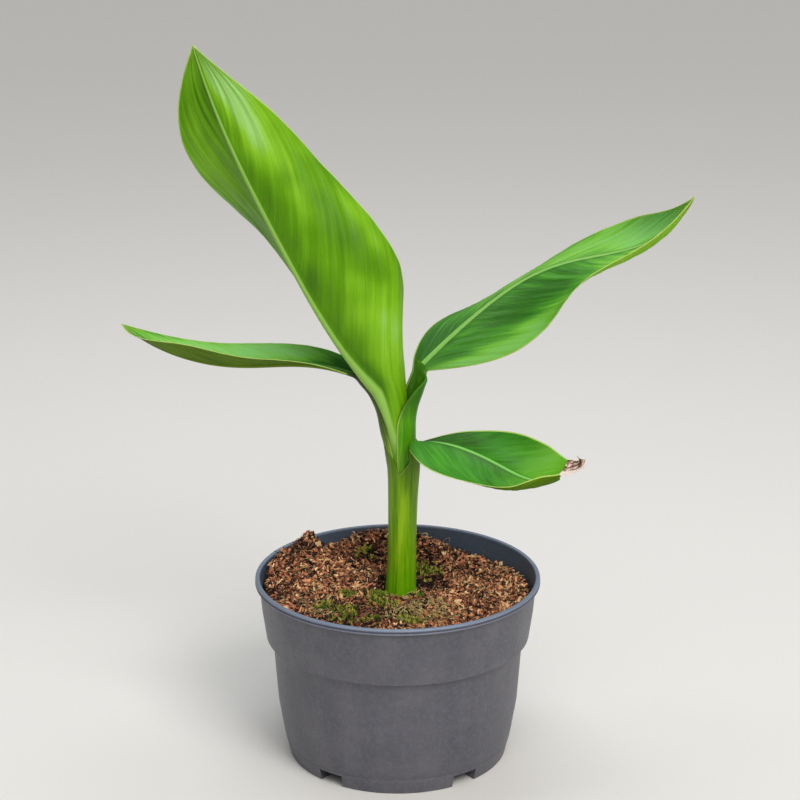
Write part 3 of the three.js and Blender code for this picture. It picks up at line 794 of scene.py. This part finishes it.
def add_outer_sheath(material):
    """The lowest leaf's sheath: wraps the whole stem and parts in a V at the front."""
    sides, steps, window = 150, 70, 7
    turn = np.linspace(0, FULL_TURN, sides + 1)
    angle = SHEATH_FRONT + turn
    edge = np.interp(np.degrees(turn), *SHEATH_EDGE.T)
    edge = np.convolve(np.concatenate([edge[-4:-1], edge, edge[1:4]]), np.ones(window) / window, "valid")
    edge[[0, -1]] = SHEATH_EDGE[0, 1]
    z = STEM_FOOT_Z + np.linspace(0, 1, steps + 1)[:, None] * (edge[None] - STEM_FOOT_Z)
    x, y, wide, deep = (np.interp(z, SHEATH_GIRTH[:, 0], row) for row in SHEATH_GIRTH.T[1:])
    # the right margin overlaps the left one a little at the foot of the V
    lap = (SHEATH_LAP * np.exp(-((turn / 0.5) ** 2)))[None]
    outer = round_rings(angle, z, wide + lap, deep + lap, x, y)
    inner = round_rings(angle, z - 0.15, wide - SHEATH_WALL, deep - SHEATH_WALL, x, y)
    ring = np.concatenate([outer, inner[:, ::-1]], 1)
    rings, count = ring.shape[:2]
    quads = [ring_quads(rings, count), *strip_ends(rings, count, sides + 1, count - 1)]
    if faces_in(ring.reshape(-1, 3), np.concatenate(quads)):
        quads = [faces[:, ::-1] for faces in quads]
    steep = np.gradient(edge, turn) / SHEATH_RADIUS
    from_margin = (edge[None] - z) / np.sqrt(1 + steep**2)[None]
    # the line is pale only on the right arm of the V
    from_margin = from_margin + 1.5 * smoothstep(np.degrees(turn), 60, 100)[None]
    place = np.stack([0 * z, from_margin, 0 * z], -1)
    both = np.concatenate([place, place[:, ::-1]], 1)
    add_piece("outer_sheath", ring, quads, [material], "stem", vectors={"place": both})


# rows as gutter_skins reads them, from inside the stem up to the foot of the blade
TALL_STALK = [
    [1.9, 0.0, 128, -0.45, -0.9, 0, 5.7, 5.7, 172, 172, 0.8, 0.5],
    [1.7, -0.1, 138, -0.45, -0.9, 0, 5.8, 5.7, 172, 172, 0.8, 0.5],
    [0.8, -0.2, 147, -0.5, -0.86, 0, 5.8, 5.4, 170, 168, 0.9, 0.5],
    [0.2, -0.2, 152, -0.6, -0.8, 0, 5.8, 5.2, 168, 162, 1.2, 0.5],
]
RIGHT_STALK = [
    [1.9, 0.0, 124, 1, 0, 0, 6.4, 6.4, 100, 107, 0.5, 0.3],
    [1.9, 0.0, 136, 1, 0, 0, 6.6, 6.4, 100, 107, 0.6, 0.35],
    [1.3, 0.0, 148, 1, 0, 0, 6.9, 6.4, 100, 104, 0.8, 0.35],
    [1.6, -0.1, 158, 1, 0, 0, 6.6, 5.9, 100, 105, 1.4, 0.4],
    [4.0, -0.4, 166, 1, 0.1, 0, 5.4, 5.0, 104, 108, 2.2, 0.45],
    [7.0, -0.6, 173, 0.9, 0.45, -0.2, 4.6, 4.8, 108, 112, 2.4, 0.5],
    [9.4, -0.4, 178.5, 0.6, 0.7, -0.45, 3.4, 4.6, 100, 100, 2.0, 0.5],
]
LEFT_STALK = [
    [1.9, 0.0, 124, -1, 0, 0, 6.0, 6.3, 75, 80, 0.5, 0.3],
    [1.9, 0.0, 136, -1, 0, 0, 6.6, 6.4, 60, 90, 0.6, 0.35],
    [0.6, 0.2, 147, -1, 0, 0, 6.8, 6.5, 57, 95, 0.8, 0.4],
    [-1.6, 1.0, 155, -1, 0.1, 0, 6.6, 6.2, 57, 98, 1.3, 0.5],
    [-5.4, 3.2, 163, -1, 0.1, -0.3, 4.7, 5.0, 60, 98, 1.6, 0.5],
    [-10.8, 5.4, 169.6, -0.9, 0, -0.8, 2.6, 3.4, 82, 95, 1.6, 0.5],
    [-15.8, 6.4, 174.2, -0.4, -0.1, -1, 1.6, 3.2, 82, 85, 1.4, 0.5],
]
LOW_STALK = [
    [2.4, -0.2, 128, 1, -0.3, 0, 6.2, 6.0, 50, 41, 0.5, 0.3],
    [2.8, -0.4, 136, 1, -0.3, 0, 6.5, 6.0, 50, 41, 0.8, 0.4],
    [4.4, -1.6, 142.5, 1, -0.4, -0.1, 5.6, 5.2, 60, 51, 1.2, 0.5],
    [7.6, -4.4, 147.8, 0.7, -0.4, -0.9, 2.6, 4.2, 75, 75, 1.2, 0.4],
]


# ---- pot ----
OUTSIDE = [  # height, radius
    [0, BODY_BASE_RADIUS], [5, 51.4], [12, 53.0], [26, 55.2], [COLLAR_FOOT_Z - 0.6, BODY_TOP_RADIUS],
    [COLLAR_FOOT_Z, COLLAR_FOOT_RADIUS], [70, 62.0], [POT_HEIGHT - LIP_DEPTH, COLLAR_TOP_RADIUS],
]
INSIDE = [[z + 1, r - POT_WALL] for z, r in OUTSIDE[1:]]


def inside_radius(z):
    """Radius of the wall's inner face at a height."""
    pairs = np.array(INSIDE)
    return np.interp(z, pairs[:, 0], pairs[:, 1])


def arc_points(r, z, radius, start, end, count):
    """Points [r, z] on an arc about a centre, angles in degrees from the outward direction."""
    angles = np.radians(np.linspace(start, end, count))
    return [[r + radius * math.cos(a), z + radius * math.sin(a)] for a in angles]


def pot_profile():
    """The pot's section as [radius, height], from the middle of the underside out, up and back in."""
    top, lip = POT_HEIGHT, POT_HEIGHT - LIP_DEPTH
    body = [[r, z] for z, r in OUTSIDE]
    base, collar = BODY_BASE_RADIUS, COLLAR_FOOT_Z
    foot_line = [[52.05, 7.2], [51.95, 7.5], [52.2, 7.8]]
    collar_foot = [
        [BODY_TOP_RADIUS - 0.05, collar - 1.4], [BODY_TOP_RADIUS + 0.4, collar - 0.75],
        [COLLAR_FOOT_RADIUS - 0.35, collar - 0.25], [COLLAR_FOOT_RADIUS, collar + 0.1]]
    lip_groove = [[LIP_RADIUS - 0.42, lip + 1.0], [LIP_RADIUS - 0.2, top - 1.35]]
    walls = [[r, z] for z, r in INSIDE if FLOOR_TOP_Z + 2 < z < top - 2]
    foot_r = float(inside_radius(FLOOR_TOP_Z))
    return np.array([
        [0.4, FLOOR_UNDERSIDE_Z], [base - 4.2, FLOOR_UNDERSIDE_Z], [base - 4.8, 0.3], [base - 4.5, 0],
        [base - 0.3, 0], [base + 0.05, 0.3], body[1], *foot_line, *body[2:4], *collar_foot, body[6],
        [COLLAR_TOP_RADIUS - 0.05, lip - 0.9], [COLLAR_TOP_RADIUS + 0.15, lip - 0.1],
        *arc_points(LIP_RADIUS - 0.6, lip + 0.55, 0.55, -100, 0, 5), *lip_groove,
        *arc_points(LIP_RADIUS - 1.0, top - 0.9, 0.9, 0, 90, 6),
        *arc_points(LIP_RADIUS - 1.7, top - 0.5, 0.5, 90, 180, 5), *walls[::-1],
        *arc_points(foot_r - 1.2, FLOOR_TOP_Z + 1.2, 1.2, 0, -90, 4), [0.4, FLOOR_TOP_Z]])


def add_pot(material):
    """The pot's turned body, with its notches and holes cut out."""
    sides, longest_row = 320, 6
    profile = pot_profile()
    # long straight stretches get more rows, so that the notches and the shading stay even
    rows = [profile[0]]
    for a, b in zip(profile[:-1], profile[1:]):
        parts = max(1, int(np.hypot(*(b - a)) / longest_row))
        rows += [a + (b - a) * k / parts for k in range(1, parts + 1)]
    r, z = np.array(rows).T[..., None]
    # the section runs outwards along the underside first, so its walls face out as they are
    pot = add_piece("nursery_pot", round_rings(circle(sides), z, r, r), capped_tube(len(rows), sides),
                    [material], "pot_plastic", "pot")
    cut(pot, pot_cutters())


def prism(outline_xy, low, high):
    """A closed prism over a convex outline, as points and faces for from_pydata."""
    n = len(outline_xy)
    points = [(x, y, z) for z in (low, high) for x, y in outline_xy]
    faces = [tuple(range(n))[::-1], tuple(range(n, 2 * n))]
    faces += [(k, (k + 1) % n, n + (k + 1) % n, n + k) for k in range(n)]
    return points, faces


def pot_cutters():
    """The foot's notches and the floor's drain holes."""
    cutters = []
    half = BODY_BASE_RADIUS * math.sin(NOTCH_ANGLE / 2)
    near, far = BODY_BASE_RADIUS - 8, BODY_BASE_RADIUS + 6
    flat = [(near, -half), (far, -half), (far, half), (near, half)]
    for k in range(FOOT_NOTCHES):
        angle = -math.pi / 2 + (k + 0.5) * FULL_TURN / FOOT_NOTCHES
        c, s = math.cos(angle), math.sin(angle)
        cutters.append(prism([(x * c - y * s, x * s + y * c) for x, y in flat], -2, NOTCH_HEIGHT))
    for k in range(DRAIN_HOLES):
        angle = -math.pi / 2 + k * FULL_TURN / DRAIN_HOLES
        x, y = DRAIN_CIRCLE * math.cos(angle), DRAIN_CIRCLE * math.sin(angle)
        rim = [(x + DRAIN_RADIUS * math.cos(a), y + DRAIN_RADIUS * math.sin(a)) for a in circle(32)]
        cutters.append(prism(rim, FLOOR_UNDERSIDE_Z - 3, FLOOR_TOP_Z + 3))
    return cutters


def cut(piece, cutters):
    """Cuts closed prisms out of a piece and leaves its edges over 35 degrees sharp."""
    for points, faces in cutters:
        mesh = bpy.data.meshes.new("cutter")
        mesh.from_pydata([tuple(c * MM for c in p) for p in points], [], faces)
        tool = add_to_scene("cutter", mesh)
        modifier = piece.modifiers.new("cut", "BOOLEAN")
        modifier.operation = "DIFFERENCE"
        modifier.solver = "EXACT"
        modifier.object = tool
        bpy.context.view_layer.update()
        cut_piece = piece.evaluated_get(bpy.context.evaluated_depsgraph_get())
        result = bpy.data.meshes.new_from_object(cut_piece)
        piece.modifiers.clear()
        piece.data = result
        bpy.data.objects.remove(tool)
    piece.data.polygons.foreach_set("use_smooth", np.full(len(piece.data.polygons), True))
    piece.data.set_sharp_from_angle(angle=math.radians(35))


# ---- peat ----
WIDEST_PEAT = 62.0
OFF_THE_WALL = 1.6  # how far the loose bits stay clear of the wall
STEM_SPACE = 7.6, 7.4  # half width and half depth of the place that they leave for the stem


def bump(x, y, cx, cy, reach):
    """A round hump of height 1 about a centre."""
    return np.exp(-((x - cx) ** 2 + (y - cy) ** 2) / reach**2)


HEAPS = [  # x, y, reach, height of the peat's heaps and hollows
    [-50, 20, 18, 8.5], [-42, 36, 7, 9], [-12, 46, 14, 9], [8, 46, 10, 8], [-40, -20, 26, 3.5],
    [0, -52, 24, 3], [34, 34, 22, -3], [14.5, 10, 6.5, -9], [42, -24, 22, 2], [-16, 8, 9, 2.5],
    [-22, -14, 8, 1.5], [-32, 38, 5, -4],
]
DARKER_PEAT = [  # x, y, reach, how much darker the peat is there; the first two, about the stem's foot under the leaves, are painted shade
    [4, 6, 14, 0.62], [13, 10, 7, 0.4], [12, 30, 14, 0.25], [-56, -16, 8, 0.3], [-22, -40, 18, 0.36],
    [0, -34, 16, 0.3], [-44, 34, 10, 0.3], [-54, 14, 9, 0.18], [-14, 38, 14, 0.18], [40, 20, 10, 0.12],
]


def clods():
    """Places, reaches and heights of the small lumps all over the peat."""
    rng = np.random.default_rng(3)
    count = 110
    place = (LIP_RADIUS - 1) * (2 * rng.random((count, 2)) - 1)
    return np.column_stack([place, rng.uniform(1.8, 4.2, count), rng.uniform(-1.0, 2.4, count)])


def peat_height(x, y, lumps=True):
    """Height of the peat: heaped behind and at the left, hollow at the back right and beside the stem."""
    free = PEAT_Z + 0.5 * np.sin(x / 4.1 + 1) * np.cos(y / 4.7)
    for cx, cy, reach, height in [*HEAPS, *(LUMPS if lumps else [])]:
        free = free + height * bump(x, y, cx, cy, reach)
    level = smoothstep(np.hypot(x - STEM_X, y), 8.5, 12.5)
    return STEM_FOOT_Z * (1 - level) + free * level


LUMPS = clods()


def peat_edge(angle, clear):
    """Radius of the peat's edge against the wall at its own height."""
    r = inside_radius(POT_HEIGHT) - clear + 0 * angle
    for _ in range(3):
        r = inside_radius(peat_height(r * np.cos(angle), r * np.sin(angle)) - 1) - clear
    return r


def add_peat_bed(material):
    """The peat's closed body, with a rough top under the loose bits. Its dark colour in the gaps between
    them is partly the peat's own and partly painted shade.
    """
    sides, steps = 180, 60
    rng = np.random.default_rng(11)
    angle = circle(sides)
    share = np.linspace(1, 0.02, steps)[:, None]
    r = peat_edge(angle, 0.3)
    x, y = share * r * np.cos(angle), share * r * np.sin(angle)
    rough = 0.5 * rng.standard_normal(x.shape) * (share < 0.98)
    top = np.stack([x, y, peat_height(x, y) - 0.9 + rough], -1)
    z = np.array([FLOOR_TOP_Z + 0.3, 13, 27, COLLAR_FOOT_Z, COLLAR_FOOT_Z + 1.5, 64])[:, None]
    radius = inside_radius(z - 0.6) - 0.4
    ring = np.concatenate([round_rings(angle, z, radius, radius), top])
    add_piece("peat_bed", ring, capped_tube(len(ring), sides), [material], "peat", "soil")


def scatter(rng, count, patches=None):
    """Points on the peat, clear of the stem and the pot's wall: evenly spread, or close to patches."""
    found = np.zeros((0, 2))
    while len(found) < count:
        r = WIDEST_PEAT * np.sqrt(rng.random(count))
        a = FULL_TURN * rng.random(count)
        x, y = r * np.cos(a), r * np.sin(a)
        beside_stem = np.hypot((x - STEM_X) / STEM_SPACE[0], y / STEM_SPACE[1]) > 1
        fits = (r < peat_edge(a, OFF_THE_WALL)) & beside_stem
        if patches:
            fits &= rng.random(count) < sum(bump(x, y, *patch) for patch in patches)
        found = np.concatenate([found, np.stack([x, y], -1)[fits]])
    return found[:count]


def rotations(heading, pitch, roll):
    """Rotation matrices that roll, then lift and then head each bit."""
    ch, sh, cp, sp, cr, sr = (f(v) for v in (heading, pitch, roll) for f in (np.cos, np.sin))
    zero, one = 0 * ch, 1 + 0 * ch
    yaw = np.stack([ch, -sh, zero, sh, ch, zero, zero, zero, one], -1).reshape(-1, 3, 3)
    lift = np.stack([cp, zero, sp, zero, one, zero, -sp, zero, cp], -1).reshape(-1, 3, 3)
    spin = np.stack([one, zero, zero, zero, cr, -sr, zero, sr, cr], -1).reshape(-1, 3, 3)
    return yaw @ lift @ spin


def turns(rng, count, tilt):
    """Random rotations: any heading, and a pitch and roll of about the given angle in degrees."""
    heading = FULL_TURN * rng.random(count)
    pitch = np.radians(tilt) * rng.standard_normal(count)
    return rotations(heading, pitch, np.radians(tilt) * rng.standard_normal(count))


def laid(bits, rotation, foot):
    """Bits in their own coordinates, turned and set down at their places on the peat."""
    return np.einsum("nij,nkj->nki", rotation, bits) + foot[:, None]


def copies(faces, points, count):
    """The faces of one bit for each of count bits of so many points."""
    return (faces[None] + points * np.arange(count)[:, None, None]).reshape(-1, faces.shape[1])


def inside_wall(points):
    """The same points, drawn in where they would reach into the pot's wall."""
    r = np.hypot(points[..., 0], points[..., 1])
    limit = inside_radius(np.minimum(points[..., 2], POT_HEIGHT - 1) - 0.5) - 0.4
    limit = np.where(points[..., 2] > POT_HEIGHT, limit + 1.5, limit)
    points[..., :2] *= np.minimum(1, limit / r)[..., None]
    return points


CHIP_CORNERS = np.array([[x, y, z] for z in (-0.5, 0.5) for y in (-0.5, 0.5) for x in (-0.5, 0.5)])
CHIP_FACES = np.array([[0, 2, 3, 1], [4, 5, 7, 6], [0, 1, 5, 4], [2, 6, 7, 3], [0, 4, 6, 2],
                       [1, 3, 7, 5]])


def add_chips(name, seed, count, size, spread, shares, materials, lift, tilt, jitter):
    """Broken bits of bark and coir: uneven little lumps and slabs. Their colours are dealt out by share,
    with the darker ones low down as painted shade among the lumps, the lighter ones on top, and darker
    ones in the darker patches."""
    rng = np.random.default_rng(seed)
    place = scatter(rng, count)
    scale = np.array(size) * np.exp(spread * rng.standard_normal((count, 3)))
    corners = CHIP_CORNERS[None] + 0.18 * rng.standard_normal((count, *CHIP_CORNERS.shape))
    corners[..., 1] *= 1 - 0.45 * rng.random((count, 1)) * (CHIP_CORNERS[None, :, 0] + 0.5)
    rotation = turns(rng, count, tilt)
    height = peat_height(*place.T) + lift + jitter * rng.standard_normal(count)
    world = laid(corners * scale[:, None], rotation, np.column_stack([place, height]))
    above = height - peat_height(*place.T, lumps=False) - lift
    # darker bits in the darker patches: by the stem's foot this is painted shade under the leaves
    darkening = sum(amount * bump(*place.T, *spot) for *spot, amount in DARKER_PEAT)
    # painted shade: bits that lie low among the lumps take darker colours, those on top lighter
    pick = np.clip(rng.random(count) + 0.14 * above - darkening, 0, 0.999)
    colour = np.searchsorted(np.cumsum(shares) / sum(shares), pick)
    faces = copies(CHIP_FACES, len(CHIP_CORNERS), count)
    add_piece(name, inside_wall(world), [faces], materials, "peat",
              of=np.repeat(colour, len(CHIP_FACES)), smooth=False)


def add_fibres(name, seed, count, length, thick, shares, materials, arch, tilt, lift=0.5, patches=None):
    """Coir fibres and rootlets: thin three-sided strands with a bend in them."""
    rng = np.random.default_rng(seed)
    joints, sides = 7, 3
    place = scatter(rng, count, patches)
    long = length * np.exp(0.45 * rng.standard_normal((count, 1)))
    t = np.linspace(-0.5, 0.5, joints)[None]
    sway = arch * rng.standard_normal((count, 1)) * (1 - 4 * t**2) * long
    sway2 = 0.5 * arch * rng.standard_normal((count, 1)) * np.sin(FULL_TURN * t) * long
    rise = 0.35 * arch * np.abs(rng.standard_normal((count, 1))) * (1 - 4 * t**2) * long
    line = np.stack([t * long, sway + sway2, rise], -1)
    ring = np.array([[0, math.cos(a), math.sin(a)] for a in 0.3 + circle(sides)])
    girth = thick * np.exp(0.3 * rng.standard_normal((count, 1, 1, 1)))
    girth = girth * (1 - 3.2 * t[..., None, None] ** 4)
    local = (line[:, :, None] + ring * girth).reshape(count, -1, 3)
    rotation = turns(rng, count, tilt)
    height = peat_height(*place.T) + lift + 0.5 * rng.standard_normal(count)
    world = laid(local, rotation, np.column_stack([place, height]))
    world[..., 2] = np.minimum(world[..., 2], height[:, None] + 1.6)
    body = ring_quads(joints, sides)
    ends = np.array([[2, 1, 0], [0, 1, 2]]) + np.array([[0], [(joints - 1) * sides]])
    colour = rng.choice(len(shares), count, p=np.array(shares) / sum(shares))
    of = np.concatenate([np.repeat(colour, len(body)), np.repeat(colour, len(ends))])
    faces = [copies(part, joints * sides, count) for part in (body, ends)]
    add_piece(name, inside_wall(world), faces, materials, "peat", of=of)


# x, y, radius
MOSS_PATCHES = [
    [-9, -14, 4.5], [-22, -37, 5.5], [-6, -22, 5], [5, -43, 5.5], [-22, -16, 3], [15, 24, 5], [8, -12, 3],
    [-32, -30, 4], [-10, -44, 4], [-16, 34, 3],
]
STRAW_PATCHES = [[10, -24, 10], [18, -34, 9], [4, -38, 8], [-38, -28, 6], [-30, -34, 6]]
SHOOT = np.array([[0, -0.09, 0], [0.5, -0.13, 0.05], [1, 0, 0.2], [0.5, 0.13, 0.05], [0, 0.09, 0],
                  [0.5, 0, -0.1]])
SHOOT_FACES = np.array([[0, 1, 5], [1, 2, 5], [2, 3, 5], [3, 4, 5], [4, 0, 5], [0, 2, 1], [0, 3, 2],
                        [0, 4, 3]])


def add_moss(materials):
    """Little moss shoots: short pointed leaves in tufts on the damp places."""
    rng = np.random.default_rng(41)
    tufts, leaves = 560, 9
    place = scatter(rng, tufts, MOSS_PATCHES)
    count = tufts * leaves
    long = 1.3 * np.exp(0.3 * rng.standard_normal((count, 1, 1)))
    heading = FULL_TURN * rng.random(count)
    rotation = rotations(heading, np.radians(rng.uniform(-75, 0, count)), 0 * heading)
    height = peat_height(*place.T) + 0.5 + 0.4 * rng.random(tufts)
    foot = np.repeat(np.column_stack([place, height]), leaves, 0)
    foot[:, 2] += 0.9 * rng.random(count)
    colour = np.repeat(rng.choice(len(materials), tufts, p=[0.22, 0.38, 0.4]), leaves)
    faces = copies(SHOOT_FACES, len(SHOOT), count)
    add_piece("moss", laid(SHOOT[None] * long, rotation, foot), [faces], materials, "peat",
              of=np.repeat(colour, len(SHOOT_FACES)), smooth=False)


# ---- the plant ----
def add_leaves():
    """The four blades and the dry tip; gives back the tall blade's two paints for its stalk."""
    # each paint: the deep, body and bright green, the rib, the tip and the rib's half width
    young = leaf_paint("young_blade_under", (68, 120, 0), (96, 152, 0), (134, 190, 30), (146, 192, 84),
                       (122, 176, 40), 2.0, vein_gap=1.6, rib_shade=0.7, vein_show=0.04, shine=0.16,
                       coat=0.02, painted_sheen=(158, 206, 112), streaky=0.36, rib_taper=0.86, rib_foot=1.4)
    young_over = leaf_paint("young_blade_over", (62, 120, 10), (84, 146, 20), (114, 176, 40),
                            (140, 184, 70), (110, 168, 30), 1.2, vein_gap=1.6, streaky=0.5)
    over = leaf_paint("grown_blade_over", (34, 96, 14), (66, 140, 32), (120, 188, 58), (130, 184, 84),
                      (140, 190, 30), 1.1, shine=0.25, painted_sheen=(132, 198, 104))
    dull = dict(gloss=0.6, coat=0.0, shine=0.08)
    under = leaf_paint("grown_blade_under", (66, 96, 2), (84, 116, 6), (106, 140, 20), (112, 136, 40),
                       (140, 180, 40), 1.5, **dull)
    # painted light: a lighter copy of the grown under skin for the right blade's underside, which lies in
    # shade
    right_under_painted_light = leaf_paint("right_blade_under_painted_light", (84, 130, 10), (108, 158, 18), (132, 182, 44),
                             (132, 160, 60), (150, 190, 40), 1.5, **dull)
    low_over = leaf_paint("low_blade_over", (40, 84, 10), (52, 126, 20), (74, 152, 38), (118, 192, 82),
                          (100, 168, 0), 1.0, vein_gap=1.1, shine=0.25, tip_from=0.5, tip_full=0.86,
                          burnt=0.898)
    add_blade("tall_blade", TALL, TALL_RINGS, 44, [young_over, young], "young_leaf", "leaf_tall")
    add_blade("left_blade", LEFT, LEFT_RINGS, 26, [over, under], "grown_leaf", "leaf_left")
    add_blade("right_blade", RIGHT, RIGHT_RINGS, 30, [over, right_under_painted_light], "grown_leaf", "leaf_right")
    add_blade("low_blade", LOW, LOW_RINGS, 30, [low_over, under], "grown_leaf", "leaf_low")
    add_blade("curled_dry_tip", DRY_TIP, 60, 14, [dry_paint()], "dry_leaf", "dry_tip", thick=0.3)
    return young_over, young


def add_stem(young):
    """The stem's core and outer sheath, and the four stalks with their own sheaths."""
    greens = (78, 130, 0), (118, 168, 0), (152, 196, 22)
    # each sheath paint's last colour and heights give it a darker top, painted shade under the leaves and
    # in the throat
    stem = sheath_paint("stem_skin", *greens, (66, 100, 0), 124, 148)
    left_sheath_shaded = sheath_paint("left_sheath_skin", *greens, (50, 72, 2), 138, 158)
    bright = sheath_paint("right_sheath_skin", (54, 120, 2), (82, 150, 2), (116, 180, 12),
                          (46, 100, 4), 158, 169)
    # the inside of the right stalk's gutter: a darker copy of its skin as painted shade
    channel_shaded = sheath_paint("stalk_channel_shaded_skin", (40, 88, 2), (56, 110, 4), (76, 134, 10))
    add_core(stem)
    add_outer_sheath(stem)
    add_stalk("tall_stalk", TALL, TALL_STALK, young, 44, TALL_RINGS, "petiole_tall", 12.0)
    add_stalk("right_stalk", RIGHT, RIGHT_STALK, [channel_shaded, bright], 30, RIGHT_RINGS, "petiole_right", 3.5)
    add_stalk("left_stalk", LEFT, LEFT_STALK, [left_sheath_shaded], 26, LEFT_RINGS, "petiole_left", 5.0)
    add_stalk("low_stalk", LOW, LOW_STALK, [stem], 30, LOW_RINGS, "petiole_low", 2.5)


def add_peat():
    """The peat's body, its chips of bark, its fibres and straws, and the moss on it."""
    browns = grit_paints(bark_dark=(40, 25, 21), bark_brown=(116, 72, 52), bark_red=(186, 116, 82),
                         bark_tan=(230, 160, 112), bark_pale=(250, 204, 150))
    strands = grit_paints(fibre_dark=(70, 46, 32), fibre_brown=(140, 88, 56), fibre_tan=(196, 148, 104),
                          fibre_straw=(216, 198, 134))
    moss = grit_paints(moss_deep=(44, 60, 14), moss_green=(96, 124, 24), moss_yellow=(178, 174, 66))
    add_peat_bed(*grit_paints(peat_dark=(46, 30, 23)))
    add_chips("peat_chips_fine", 5, 16200, (1.6, 0.55, 0.45), 0.33, [36, 19, 19, 19, 7], browns,
              lift=0.2, tilt=38, jitter=0.6)
    add_chips("peat_chips_coarse", 6, 1500, (2.6, 0.8, 0.7), 0.3, [40, 24, 20, 13, 3], browns,
              lift=0.5, tilt=36, jitter=0.55)
    add_fibres("peat_fibres", 7, 2600, 3.6, 0.14, [22, 34, 28, 16], strands, arch=0.4, tilt=20)
    add_fibres("straw_strands", 12, 440, 2.8, 0.18, [0, 0, 1, 3], strands, arch=0.6, tilt=26, lift=0.9,
               patches=STRAW_PATCHES)
    add_moss(moss)


add_camera()
add_studio()
add_floor()
add_pot(pot_paint())
add_peat()
add_stem(add_leaves())
